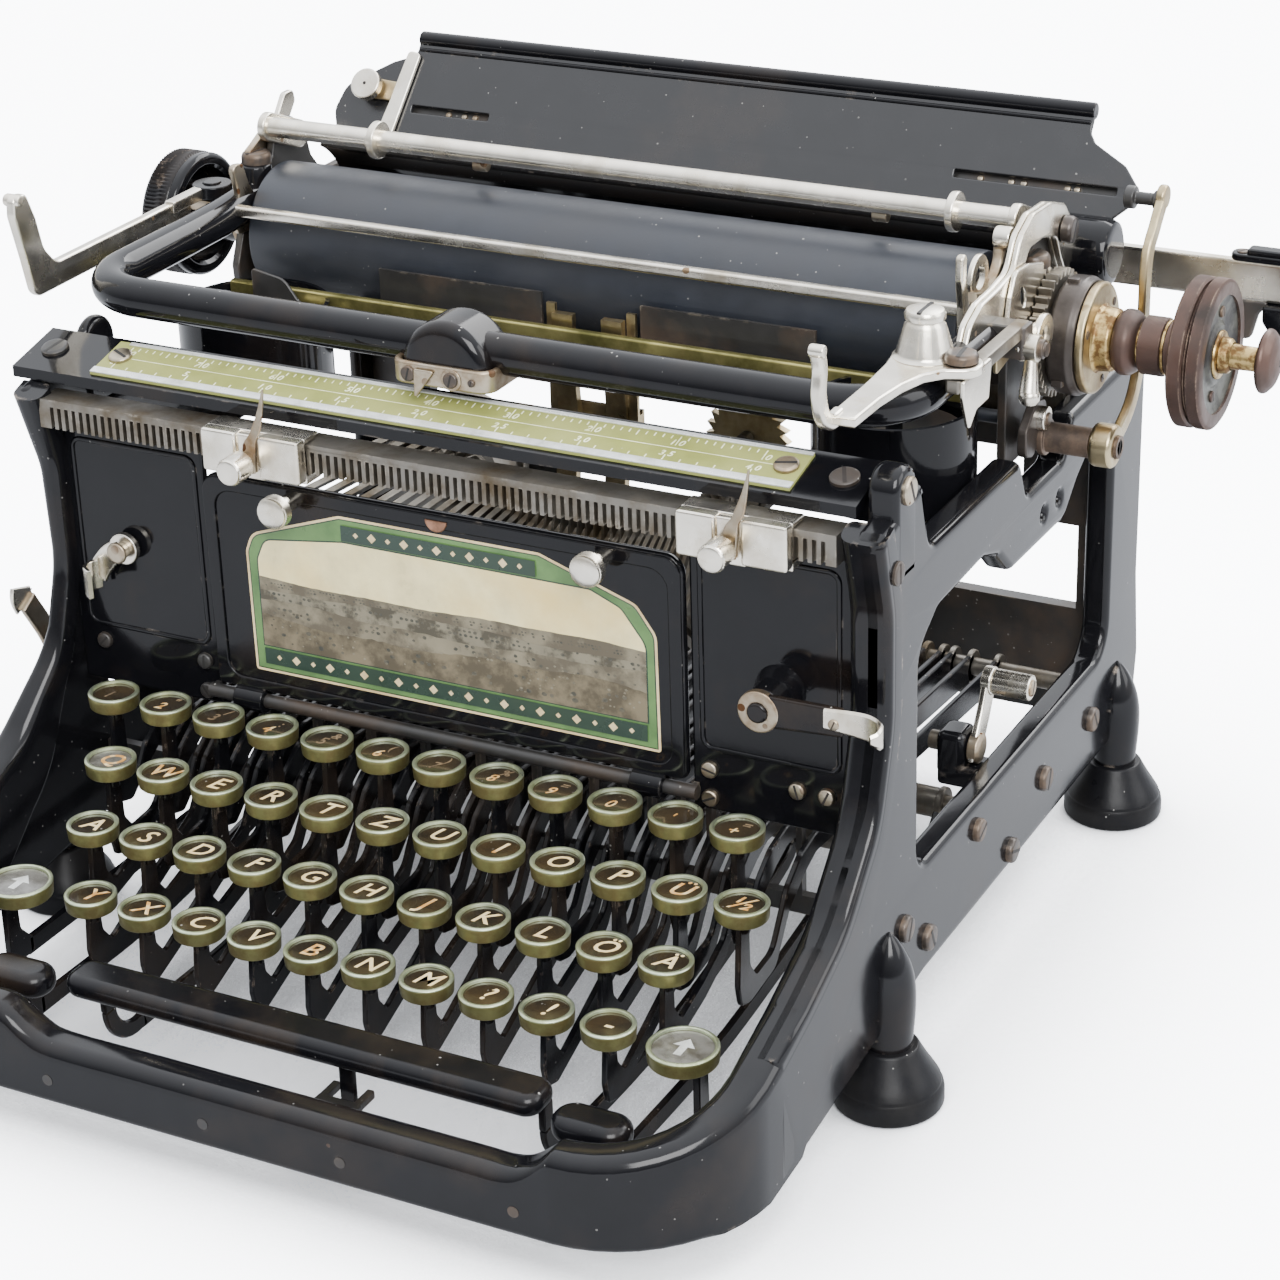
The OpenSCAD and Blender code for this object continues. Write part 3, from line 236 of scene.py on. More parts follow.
def finish(name, colour, rough, metal=0.0, stain=None, worn=None, spots=None, bump=None, dust=0.0, coat=0.0,
           spec=0.5):
    """A material with stains (colour, roughness, scale, low, high), worn edges (colour, amount, width,
    metal), spots (colour, share), dust and a fine bump (strength, scale)."""
    mat = bpy.data.materials.new(name)
    mat.use_nodes = True
    t = Tree(mat.node_tree)
    shader = mat.node_tree.nodes["Principled BSDF"]
    shader.inputs["Specular IOR Level"].default_value = spec
    shader.inputs["Coat Weight"].default_value = coat
    shader.inputs["Coat Roughness"].default_value = 0.05
    place = t.add("ShaderNodeTexCoord").outputs["Object"]
    fine = t.noise(place, 90.0, 5.0, 0.6)
    paint = t.mix(t.span(fine, 0.3, 0.7), rgba([c * 0.82 for c in colour]), rgba([c * 1.15 for c in colour]))
    gloss = t.span(fine, 0.25, 0.75, rough * 0.8, rough * 1.25)
    shine = metal

    def cover(group, inputs, over, more_rough, strength=None):
        """Lays a colour over the paint where a group's mask says so."""
        nonlocal paint, gloss
        mask = t.add("ShaderNodeGroup", inputs, node_tree=group).outputs[0]
        if strength:
            mask = t.math("MULTIPLY", mask, strength())
        paint = t.mix(mask, paint, rgba(over))
        gloss = t.math("ADD", gloss, t.math("MULTIPLY", mask, more_rough))
        return mask

    if stain:
        over, over_rough, scale, low, high = filled(stain, (None, None, 30.0, 0.45, 0.7))
        cover(BLOTS, {"Scale": scale, "Low": low, "High": high}, over, (over_rough or rough * 1.6) - rough)
    if worn:
        over, amount, width, over_metal = filled(worn, (None, 0.3, 0.0012, 0.7))
        mask = cover(WEAR, {"Width": width, "Amount": amount}, over, 0.22)
        shine = t.math("ADD", metal, t.math("MULTIPLY", mask, over_metal - metal))
    if spots:
        over, share = filled(spots, (None, 0.08))
        cover(SPECKS, {"Scale": 260.0, "Size": 0.42, "Share": share}, over, 0.3)
    if dust:
        def upward():
            up = t.add("ShaderNodeSeparateXYZ",
                {0: t.add("ShaderNodeNewGeometry").outputs["Normal"]}).outputs[2]
            return t.span(up, -0.2, 0.8, 0.25, dust)
        cover(SPECKS, {"Scale": 900.0, "Size": 0.32, "Share": 0.035}, DUST_GREY, 0.4, upward)
    for key, value in (("Base Color", paint), ("Roughness", gloss), ("Metallic", shine)):
        if isinstance(value, bpy.types.NodeSocket):
            mat.node_tree.links.new(value, shader.inputs[key])
        else:
            shader.inputs[key].default_value = value
    if bump:
        strength, scale = filled(bump, (None, 500.0))
        grain = t.noise(place, scale, 3.0, 0.6)
        lift = t.add("ShaderNodeBump", {"Height": grain, "Strength": strength, "Distance": 0.0004}).outputs[0]
        mat.node_tree.links.new(lift, shader.inputs["Normal"])
    return mat


ENAMEL = finish("black_enamel", (0.004, 0.004, 0.005), 0.09,
    stain=((0.016, 0.011, 0.008), 0.2, 26.0, 0.52, 0.80), worn=((0.16, 0.14, 0.12), 0.20, 0.0009),
    bump=(0.03, 160.0), spec=0.24, dust=0.5)
CASTING = finish("casting_enamel", (0.005, 0.005, 0.006), 0.12,
    stain=((0.018, 0.013, 0.010), 0.24, 22.0, 0.52, 0.80), worn=((0.26, 0.22, 0.18), 0.24, 0.0022),
    spots=((0.10, 0.06, 0.04), 0.006), bump=(0.05, 120.0), spec=0.26, dust=0.25)
LACQUER = finish("black_lacquer", (0.004, 0.004, 0.005), 0.18, stain=((0.02, 0.014, 0.01),),
    worn=((0.22, 0.17, 0.13), 0.20), bump=(0.03,), spec=0.22, dust=0.6)
IRON = finish("dark_iron", (0.018, 0.017, 0.016), 0.38, stain=((0.05, 0.032, 0.02),),
    worn=((0.2, 0.17, 0.13), 0.26), bump=(0.1,), dust=0.5)
NICKEL = finish("nickel", (0.84, 0.79, 0.69), 0.24, 1.0, stain=((0.50, 0.43, 0.31), 0.34, 60.0, 0.50, 0.80),
    worn=((0.30, 0.22, 0.14), 0.20, 0.0006, 0.9), spots=((0.26, 0.18, 0.11), 0.02), bump=(0.05,))
NICKEL_WORN = finish("worn_nickel", (0.44, 0.38, 0.29), 0.32, 1.0,
    stain=((0.24, 0.16, 0.09), 0.5, 90.0, 0.45, 0.68), worn=((0.16, 0.10, 0.06), 0.3, 0.0012, 0.7),
    spots=((0.12, 0.06, 0.03), 0.3), bump=(0.12,))
RUST = finish("rusty_steel", (0.16, 0.095, 0.065), 0.42, 0.75,
    stain=((0.09, 0.045, 0.028), 0.6, 110.0, 0.42, 0.62), worn=((0.35, 0.25, 0.18), 0.3, 0.0012, 1.0),
    bump=(0.2,))
STEEL = finish("oiled_steel", (0.20, 0.185, 0.16), 0.36, 0.9,
    stain=((0.10, 0.075, 0.045), 0.55, 60.0, 0.42, 0.66), worn=((0.42, 0.38, 0.32), 0.24, 0.0012, 1.0),
    bump=(0.12,))
GILT = finish("yellowed_nickel", (0.50, 0.415, 0.25), 0.3, 1.0,
    stain=((0.28, 0.20, 0.11), 0.46, 80.0, 0.45, 0.7), worn=((0.2, 0.14, 0.08), 0.25),
    spots=((0.14, 0.08, 0.04), 0.12), bump=(0.08,))
PLATEN_RUBBER = finish("platen_rubber", (0.018, 0.021, 0.028), 0.36,
    stain=((0.028, 0.029, 0.033), None, 20.0, 0.4, 0.8), bump=(0.08, 900.0), dust=0.6)
FOOT_RUBBER = finish("foot_rubber", (0.005, 0.005, 0.006), 0.3,
    stain=((0.014, 0.013, 0.012), None, 30.0, 0.45, 0.75), bump=(0.12,), spec=0.14, dust=0.5)
RING = finish("key_ring", (0.50, 0.56, 0.40), 0.30, 0.9, stain=((0.32, 0.35, 0.20), 0.5, 120.0, 0.4, 0.62),
    worn=((0.6, 0.62, 0.52), 0.25, 0.0005, 1.0), bump=(0.06,))
KEY_CARD = finish("key_card", (0.020, 0.016, 0.011), 0.12,
    stain=((0.045, 0.030, 0.014), None, 60.0, 0.4, 0.7), coat=0.6, dust=0.5)
SCALE_OLIVE = finish("scale_olive", (0.235, 0.25, 0.065), 0.34,
    stain=((0.30, 0.31, 0.10), None, 40.0, 0.4, 0.7), bump=(0.03,), spec=0.3, dust=0.4)
STRIP_WHITE = finish("scale_strip", (0.80, 0.82, 0.80), 0.28, 0.4,
    stain=((0.38, 0.38, 0.34), None, 90.0, 0.45, 0.7), worn=((0.2, 0.18, 0.15), 0.2, 0.0006))

NODE_FINISH = (
    (CASTING, "front_rail side_plate_left side_plate_right"),
    (IRON, "rear_frame cover_rod frame_screws ribbon_spool_left ribbon_spool_right card_plates key_comb "
     "carriage_bed ratchet_wheel"),
    (ENAMEL, "front_panels front_cover top_bar spool_cups front_tube centre_hood paper_table"),
    (NICKEL, "cover_knobs margin_stop_left margin_stop_right panel_lever_left ribbon_crank rear_rail "
     "paper_rod paper_guide paper_bail return_lever release_lever"),
    (SCALE_OLIVE, "margin_scale"),
    (STEEL, "margin_rack segment type_bars type_bar_h lever_shafts carriage_track spring_drum "
     "carriage_ends"),
    (FOOT_RUBBER, "rubber_feet"),
    (NICKEL_WORN, "panel_lever_right side_lever"),
    (GILT, "type_guide ribbon_vibrator escape_wheel table_arm"),
    (LACQUER, "key_row_1 key_row_2 key_row_3 key_row_4 key_h space_bar shift_keys backspace_key "
     "tabulator_key knob_left"),
    (PLATEN_RUBBER, "feed_rollers platen"),
    (RUST, "knob_right clutch_plunger"))
for node, material in [(NODES[name], material) for material, names in NODE_FINISH for name in names.split()]:
    if not node.material_slots:
        node.data.materials.append(material)
    for slot in node.material_slots:
        slot.material = material
    soften = node.modifiers.new("soften", "BEVEL")
    soften.width = 0.0003
    soften.segments = 2
    soften.limit_method = "ANGLE"
    soften.angle_limit = math.radians(38)
    soften.harden_normals = True


# ---------------------------------------------------------------- shapes, in millimetres
RIGHT, LEFT, FRONT, UP = (1, 0, 0), (-1, 0, 0), (0, -1, 0), (0, 0, 1)
ROLLER = (81, 188)  # y and z of the roller's axis
KEY_PITCH = 19.05
LETTER_PITCH = 2.6
LETTER_DEPTH = 0.04


def unit(v):
    return v / max(v.length, 1e-9)


def rounded(points, steps=8):
    """A closed outline: each point is (u, v) or (u, v, corner radius)."""
    result = []
    count = len(points)
    for i, point in enumerate(points):
        q = Vector(point[:2])
        radius = point[2] if len(point) > 2 else 0
        before, after = (Vector(points[(i + d) % count][:2]) for d in (-1, 1))
        to_a, to_b = unit(before - q), unit(after - q)
        half = math.acos(max(-1, min(1, to_a.dot(to_b)))) / 2
        if radius <= 0 or half > math.radians(89.4):
            result.append(q)
            continue
        cut = min(radius / max(math.tan(half), 0.01), (before - q).length / 2, (after - q).length / 2)
        real = cut * math.tan(half)
        centre = q + unit(to_a + to_b) * real / math.sin(half)
        start, end = q + to_a * cut - centre, q + to_b * cut - centre
        a0, a1 = math.atan2(start.y, start.x), math.atan2(end.y, end.x)
        turn = (a1 - a0 + math.pi) % (2 * math.pi) - math.pi
        for k in range(steps + 1):
            a = a0 + turn * k / steps
            result.append(centre + real * Vector((math.cos(a), math.sin(a))))
    return result


def ring_points(centre, radius, first=0.0, last=360.0, steps=32):
    """Points on an arc. A full circle leaves out its last point."""
    count = steps if abs(last - first) > 359.9 else steps + 1
    return [Vector(centre) + radius * Vector((math.cos(math.radians(first + (last - first) * k / steps)),
        math.sin(math.radians(first + (last - first) * k / steps)))) for k in range(count)]


def area(loop):
    return sum(a.x * b.y - b.x * a.y for a, b in zip(loop, loop[1:] + loop[:1])) / 2


def oblong(x0, x1, v0, v1, *radius):
    return [(x, v) + radius for x, v in ((x0, v0), (x1, v0), (x1, v1), (x0, v1))]


def inset(loop, depth):
    """The loop moved to its left by depth, mitred at corners."""
    loop, result = [Vector(p[:2]) for p in loop], []
    for i, q in enumerate(loop):
        a, b = unit(q - loop[i - 1]), unit(loop[(i + 1) % len(loop)] - q)
        na, nb = Vector((-a.y, a.x)), Vector((-b.y, b.x))
        result.append(q + (na + nb) / max(1 + na.dot(nb), 0.45) * depth)
    return result


def plate(outline, thick, edge=0.5, holes=(), steps=3):
    """A slab with rounded edges, in local (u, v, w) with w from 0 to thick."""
    loops = [[Vector(p[:2]) for p in outline]] + [[Vector(p[:2]) for p in h] for h in holes]
    loops = [[p for i, p in enumerate(loop) if (p - loop[i - 1]).length > 0.02] for loop in loops]
    loops = [loop if (area(loop) > 0) == (i == 0) else loop[::-1] for i, loop in enumerate(loops)]
    edge = min(edge, thick / 2.001)
    quarter = [math.pi / 2 * k / steps for k in range(steps + 1)]
    levels = [(edge * (1 - math.cos(a)), edge * (1 - math.sin(a))) for a in reversed(quarter)]
    levels += [(i, thick - w) for i, w in reversed(levels)]
    verts, faces = [], []
    bottoms, tops = [], []
    for loop in loops:
        n = len(loop)
        start = len(verts)
        for depth, w in levels:
            verts += [(p.x, p.y, w) for p in inset(loop, depth)]
        for k in range(len(levels) - 1):
            a, b = start + k * n, start + (k + 1) * n
            faces += [(a + i, a + (i + 1) % n, b + (i + 1) % n, b + i) for i in range(n)]
        bottoms.append(range(start, start + n))
        tops.append(range(start + (len(levels) - 1) * n, start + len(levels) * n))
    for ends, flip in ((bottoms, True), (tops, False)):
        flat = [i for loop in ends for i in loop]
        tris = geometry.tessellate_polygon([[Vector((verts[i][0], verts[i][1], 0)) for i in loop]
            for loop in ends])
        for t in tris:
            a, b, c = (Vector(verts[flat[i]][:2]) for i in t)
            up = (b - a).cross(c - a) > 0
            t = [flat[i] for i in t]
            faces.append(tuple(t if up != flip else t[::-1]))
    return verts, faces


def lathe(profile, start, along, sides=40, closed=False, notch=lambda ring, side: 0):
    """Turns (height, radius) points about an axis. Ends close unless the profile is a closed ring.
    notch(ring, side) is what single points lose of their radius."""
    axis = unit(Vector(along))
    side = unit(axis.orthogonal())
    other = axis.cross(side)
    rings = []
    for i, (h, r) in enumerate(profile):
        spokes = [(2 * math.pi * k / sides, r - notch(i, k)) for k in range(sides)]
        rings.append([Vector(start) + axis * h + q * (math.cos(a) * side + math.sin(a) * other)
            for a, q in spokes])
    return sweep(rings, closed)


def soft(profile, radius=0.6, steps=3):
    """The same (height, radius) profile with its corners rounded."""
    result = [profile[0]]
    for a, q, b in zip(profile, profile[1:], profile[2:]):
        q2 = Vector(q)
        da, db = Vector(a) - q2, Vector(b) - q2
        cut = min(radius, da.length * 0.49, db.length * 0.49)
        p0, p2 = q2 + unit(da) * cut, q2 + unit(db) * cut
        for k in range(steps + 1):
            s = k / steps
            p = p0 * (1 - s) ** 2 + q2 * 2 * s * (1 - s) + p2 * s ** 2
            result.append((p.x, p.y))
    return result + [profile[-1]]


def sweep(rings, closed=False):
    """Skins a row of rings that have as many points each."""
    n = len(rings[0])
    verts = [tuple(p) for ring in rings for p in ring]
    faces = []
    for i in range(len(rings) if closed else len(rings) - 1):
        a, b = i * n, ((i + 1) % len(rings)) * n
        faces += [(a + k, a + (k + 1) % n, b + (k + 1) % n, b + k) for k in range(n)]
    if not closed:
        faces.append(tuple(range(n - 1, -1, -1)))
        faces.append(tuple(range((len(rings) - 1) * n, len(rings) * n)))
    return verts, faces


def bar(path, section, up=UP):
    """Sweeps a section of (side, up) points, or a function of the step, along a path."""
    path = [Vector(p) for p in path]
    rings = []
    for i, p in enumerate(path):
        t = unit(path[min(i + 1, len(path) - 1)] - path[max(i - 1, 0)])
        side = unit(t.cross(Vector(up)))
        above = side.cross(t)
        points = section(i) if callable(section) else section
        rings.append([p + side * a + above * b for a, b in points])
    return sweep(rings)


def disc_section(radius, sides=14):
    return [(radius * math.cos(2 * math.pi * k / sides), radius * math.sin(2 * math.pi * k / sides))
        for k in range(sides)]


def box_section(width, height, radius, steps=3):
    w, h = width / 2, height / 2
    loop = rounded(oblong(-w, w, -h, h, radius), steps)
    return [(p.x, p.y) for p in loop]


def curve_through(points, steps=8):
    """A smooth path through points of any dimension."""
    pts = [Vector(p) for p in points]
    pts = [pts[0] * 2 - pts[1]] + pts + [pts[-1] * 2 - pts[-2]]
    result = []
    for i in range(1, len(pts) - 2):
        a, b, c, d = pts[i - 1:i + 3]
        for k in range(steps):
            s = k / steps
            result.append(0.5 * ((2 * b) + (c - a) * s + (2 * a - 5 * b + 4 * c - d) * s * s
                + (3 * b - a - 3 * c + d) * s ** 3))
    return result + [pts[-2]]


def on_x(x):
    return lambda p: Vector((x + p[2], p[0], p[1]))


def on_y(y):
    return lambda p: Vector((p[0], y + p[2], p[1]))


def on_z(z):
    return lambda p: Vector((p[0], p[1], z + p[2]))


def rod(a, b, radius, edge=0.4, sides=24):
    """A round bar from a to b with broken edges."""
    a, b = Vector(a), Vector(b)
    length = (b - a).length
    edge = min(edge, radius * 0.6, length * 0.3)
    return lathe([(0, radius - edge), (edge * 0.3, radius - edge * 0.3), (edge, radius),
        (length - edge, radius), (length - edge * 0.3, radius - edge * 0.3), (length, radius - edge)],
        a, b - a, sides)


def block(a, b, edge=0.5):
    """A box between two corners with rounded edges."""
    a, b = Vector(a), Vector(b)
    r = min(edge, min(b[i] - a[i] for i in range(3)) / 2.2)
    loop = rounded(oblong(a.x, b.x, a.y, b.y, r * 1.3), 3)
    verts, faces = plate(loop, b.z - a.z, r, steps=2)
    return [(x, y, z + a.z) for x, y, z in verts], faces


def strip(points, width):
    """The outline of a band of constant width along open (u, v) points."""
    pts = [Vector(p[:2]) for p in points]
    left, right = [], []
    for i, p in enumerate(pts):
        t = unit(pts[min(i + 1, len(pts) - 1)] - pts[max(i - 1, 0)])
        n = Vector((-t.y, t.x)) * width / 2
        left.append(p + n)
        right.append(p - n)
    return left + right[::-1]


def lettering(words, size, shear, fat):
    """Letters as a mesh in local (u, v, w), centred."""
    curve = bpy.data.curves.new("lettering", "FONT")
    curve.body = words
    curve.size = size
    curve.shear = shear
    curve.offset = fat
    curve.extrude = LETTER_DEPTH
    curve.align_x, curve.align_y = "CENTER", "CENTER"
    curve.resolution_u = 3
    holder = bpy.data.objects.new("lettering", curve)
    bpy.context.scene.collection.objects.link(holder)
    bpy.context.view_layer.update()
    mesh = bpy.data.meshes.new_from_object(holder.evaluated_get(bpy.context.evaluated_depsgraph_get()))
    found = [tuple(v.co) for v in mesh.vertices], [tuple(p.vertices) for p in mesh.polygons]
    bpy.data.objects.remove(holder)
    bpy.data.curves.remove(curve)
    bpy.data.meshes.remove(mesh)
    return found


def piece(name, body, replaces=(), slot=None, sharp=40):
    """Makes a piece at once, from the function that follows."""
    def make(build):
        shape = Shape(name)
        build(shape)
        return shape.done(body, replaces, slot, sharp)
    return make


def washer(bore, radius, thick):
    """The closed profile of a plain ring."""
    return [(0, bore), (0, radius), (thick, radius), (thick, bore)]


class Shape:
    """One piece under construction, made of parts with their own finishes."""

    def __init__(self, name):
        self.name = name
        self.verts, self.faces, self.marks, self.paints = [], [], [], []

    def add(self, mesh, paint, place=None, mirror=False):
        verts, faces = mesh
        base = len(self.verts)
        for v in verts:
            v = place(v) if place else Vector(v)
            self.verts.append(Vector((-v.x, v.y, v.z)) if mirror else v)
        if paint not in self.paints:
            self.paints.append(paint)
        mark = self.paints.index(paint)
        for face in faces:
            face = [base + i for i in face]
            self.faces.append(face[::-1] if mirror else face)
            self.marks.append(mark)
        return self

    def turned(self, paint, profile, start, along, sides=40, corner=0.6, steps=3, closed=False):
        """A solid of revolution with rounded corners."""
        return self.add(lathe(soft(profile, corner, steps), start, along, sides, closed), paint)

    def ring(self, paint, profile, start, along, sides=40, corner=0.6, steps=3):
        """The same from a closed profile, with a bore."""
        return self.turned(paint, profile, start, along, sides, corner, steps, True)

    def sheet(self, paint, place, points, corner_steps, thick, edge):
        """A slab from an outline with corner radii."""
        return self.add(plate(rounded(points, corner_steps), thick, edge), paint, place)

    def done(self, body, replaces=(), slot=None, sharp=40):
        mesh = bpy.data.meshes.new(self.name)
        mesh.from_pydata([at(*v) for v in self.verts], [], self.faces)
        for paint in self.paints:
            mesh.materials.append(paint)
        mesh.polygons.foreach_set("material_index", self.marks)
        mesh.polygons.foreach_set("use_smooth", [True] * len(mesh.polygons))
        mesh.validate()
        mesh.update()
        mesh.set_sharp_from_angle(angle=math.radians(sharp))
        piece = bpy.data.objects.new(self.name, mesh)
        bpy.context.scene.collection.objects.link(piece)
        even = piece.modifiers.new("even_normals", "WEIGHTED_NORMAL")
        even.keep_sharp = True
        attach(piece, body)
        if replaces:
            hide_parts(*replaces)
        return piece


# ---------------------------------------------------------------- castings
FRONT_EDGE = [(-52, 173, 4), (-46, 150, 26), (-46, 118, 34), (-54, 92, 30), (-76, 70, 34), (-100, 60, 16)]
LEFT_EDGE = [(-50, 173, 4), (-40, 150, 20), (-37, 118, 30), (-44, 92, 30), (-66, 71, 30), (-96, 59, 16)]
CASTING_REST = [(-118, 54), (-118, 15), (-20, 27, 20), (160, 27, 8), (164, 50, 12), (160, 80, 15),
    (160, 158, 4), (92, 158, 5), (86, 146, 5), (56, 146, 5), (50, 160, 5), (-18, 160, 6), (-24, 181, 1),
    (-48, 175.2, 2.6)]
WINDOW = [(-25, 63, 8), (-25, 131, 9), (-12, 139, 7), (22, 140, 7), (34, 136, 6), (44, 127, 5), (88, 126, 8),
    (99, 135, 7), (112, 142, 7), (131, 142, 6), (131, 63, 11)]
EARS = {1: (-35, 183, 7), -1: (-12, 178, 8)}


def casting(side):
    name = "side_plate_right" if side > 0 else "side_plate_left"
    shape = Shape(name + "_casting")
    flip = side < 0
    holes = [rounded(WINDOW, 7)] + [ring_points(c, 1.8, steps=14) for c in ((70, 135), (83, 135))]
    face, thick, edge = (133, 4.6, LEFT_EDGE) if flip else (134, 8.9, FRONT_EDGE)
    shape.add(plate(rounded(edge + CASTING_REST, 7), thick, min(2.4, thick * 0.45), holes, 4), CASTING,
        on_x(face), flip)
    y, z, r = EARS[side]
    shape.add(plate(rounded([(y - r, 158, 1), (y + r, 158, 1), (y + r, z + r, r - 0.1),
        (y - r, z + r, r - 0.1)], 10), thick + 0.1, min(2.2, thick * 0.45), steps=3), CASTING, on_x(face),
        flip)
    for y in (-46, 143):
        pod = [(0, 6.9), (5, 7.2), (11, 7.6), (18, 7.6), (24, 6.7), (29, 4.9), (33, 2.6), (35.5, 0.4)]
        profile = [(p.x, max(p.y, 0.05)) for p in curve_through(pod, 3)]
        shape.add(lathe(profile, (143, y, 19), UP, 28), CASTING, None, flip)
    if side > 0:
        shape.add(block((121, 41.5, 54), (135, 52.5, 61), 1.2), CASTING)
        shape.add(block((120.5, 41.3, 57), (129.8, 52.7, 71.6), 2), CASTING)
    else:
        shape.add(rod((-155, -32, 64), (-136, -32, 64), 3), NICKEL_WORN)
    return shape.done("frame", [name], "black_enamel", 50)


def rail_path():
    """(point, outboard direction, depth, half width) from the left post's top round to the right one's."""
    post = rounded([(-58, 190)] + FRONT_EDGE + [(-118, 54), (-125, 50)], 7)
    post = [p for p in post if p.y <= 174 and p.x >= -117.5]
    stations = []
    for p in post:
        low = max(0.0, min(1.0, (100 - p.y) / 46))
        stations.append((Vector((-136.5, p.x, p.y)), Vector(LEFT), 8.5 + 30 * low * low))
    for k in range(0, 13):
        a = math.radians(180 + 90 * k / 12)
        out = Vector((math.cos(a), math.sin(a), 0))
        s = k / 12
        top = 54 + (40 - 54) * (1 - (1 - s) ** 2)
        stations.append((Vector((-98, -118, top)) + out * 38.5, out, top - 12 - (1 - s) * 2))
    left = list(stations)
    tops = curve_through([(-98, 40), (-86, 39.6), (-77, 39), (-69, 33.5), (-60, 31), (-30, 31), (20, 31),
        (70, 31), (83, 31), (90, 33.5), (97, 39.5)], 4)
    for p in tops[1:]:
        stations.append((Vector((p.x, -156.5, p.y)), Vector(FRONT), p.y - 12))
    for point, out, depth in reversed(left):
        stations.append((Vector((-point.x, point.y, point.z)), Vector((-out.x, out.y, 0)), depth))
    # The left post is slimmer than the right one between its head and the bend
    result = []
    for point, out, depth in stations:
        slim = max(0, min(1, (point.z - 60) / 40)) if point.x < -130 else 0
        head = max(0, min(1, (point.z - 140) / 25)) if point.x < -130 else 0
        half = 6.5 - 3.2 * slim + 1.9 * head
        result.append((point + Vector((5 * slim - 1.5 * head, 0, 0)), out, depth, half))
    return result


def front_band():
    stations = rail_path()
    rings = []
    for i, (p, out, depth, w) in enumerate(stations):
        back = 2.2 if abs(out.y) > 0.5 else 0.25
        t = unit(stations[min(i + 1, len(stations) - 1)][0] - stations[max(i - 1, 0)][0])
        down = Vector((0, 0, -1)) if abs(out.y) > 0.01 else unit(t.cross(out))
        r = min(4.6, w * 0.8)
        ring = []
        for cx, cy, rr in ((w, 0, r), (w, depth, back), (-w, depth, 2.2), (-w, 0, r)):
            rr = min(rr, depth / 2.2, w * 0.8)
            sx = 1 if cx > 0 else -1
            sy = 1 if cy == 0 else -1
            for k in range(6):
                a = math.radians(k * 18)
                if (cx > 0) == (cy == 0):
                    u, v = math.sin(a), math.cos(a)
                else:
                    u, v = math.cos(a), math.sin(a)
                ring.append(p + out * (cx - sx * rr + sx * rr * u) + down * (cy + sy * rr - sy * rr * v))
        rings.append(ring)
    shape = Shape("front_rail_band").add(sweep(rings), CASTING)
    # Painted shade: the rail's small holes are flat dark iron discs on its face, standing for their shaded
    # bores
    for x in (-62, -10, 34, 87):
        shape.add(lathe([(0, 1.7), (0.12, 1.7)], (x, -163.02, 20), FRONT, 16), IRON)
    shape.add(block((12, -151, 19), (26, -138, 21.5), 0.6), IRON)
    for s in (-1, 1):
        shape.add(block((19 + s * 5.5 - 1.2, -139, 19), (19 + s * 5.5 + 1.2, -131, 21.5), 0.4), IRON)
    return shape.done("frame", ["front_rail"], "black_enamel", 50)


for which in (-1, 1):
    casting(which)
front_band()


@piece("rubber_feet_cones", "frame", ["rubber_feet"], "foot_rubber", 50)
def feet(shape):
    profile = [(0, 15.1), (0.5, 15.7), (1.2, 16), (4.6, 16), (6.2, 15.7), (6.8, 15.2), (7.3, 15.1),
        (8.0, 15.0), (10.5, 13.5), (13.5, 11.6), (16.5, 9.9), (18.2, 9.0), (18.8, 8.6), (19, 8.1)]
    for x in (-143, 143):
        for y in (-46, 143):
            shape.add(lathe(profile, (x, y, 0), UP, 40), FOOT_RUBBER)


# ---------------------------------------------------------------- turned and pressed details
def knurled(start, along, radius, length, teeth=40, depth=0.25, rows=6, hole=0.0, face=0.5):
    """A knob rim with a crossed knurl and broken edges."""
    rim = [(face * 0.6 + (length - face * 1.2) * k / rows, radius) for k in range(rows + 1)]
    rings = [(0.0, radius - face)] + rim + [(length, radius - face)]
    first = 1
    if hole:
        rings = [(0.0, hole)] + rings + [(length, hole)]
        first = 2
    return lathe(rings, start, along, teeth * 2, bool(hole),
        lambda i, k: depth if first <= i <= first + rows and (i + k) % 2 else 0)


def screw(shape, centre, along, radius, height, paint, turn=0.4):
    """A cheese head with its slot as a thin dark sheet on top, a painted shade in place of a cut groove."""
    axis = unit(Vector(along))
    shape.add(lathe([(0, radius), (height * 0.6, radius), (height * 0.9, radius * 0.9),
        (height, radius * 0.75), (height, 0.01)], centre, axis, 24), paint)
    side = unit(axis.orthogonal())
    side = (Matrix.Rotation(turn, 3, axis) @ side)
    other = axis.cross(side)
    base = Vector(centre) + axis * (height + 0.02)
    length, width = radius * 0.86, radius * 0.13
    quad = [base + side * a * length + other * b * width for a, b in ((-1, -1), (1, -1), (1, 1), (-1, 1))]
    top = [q + axis * 0.03 for q in quad]
    # Painted shade: a thin dark sheet on the head stands for the slot's shaded groove
    shape.add((quad + top, [(4, 5, 6, 7), (0, 1, 5, 4), (1, 2, 6, 5), (2, 3, 7, 6), (3, 0, 4, 7)]), SLOT_SHADE)


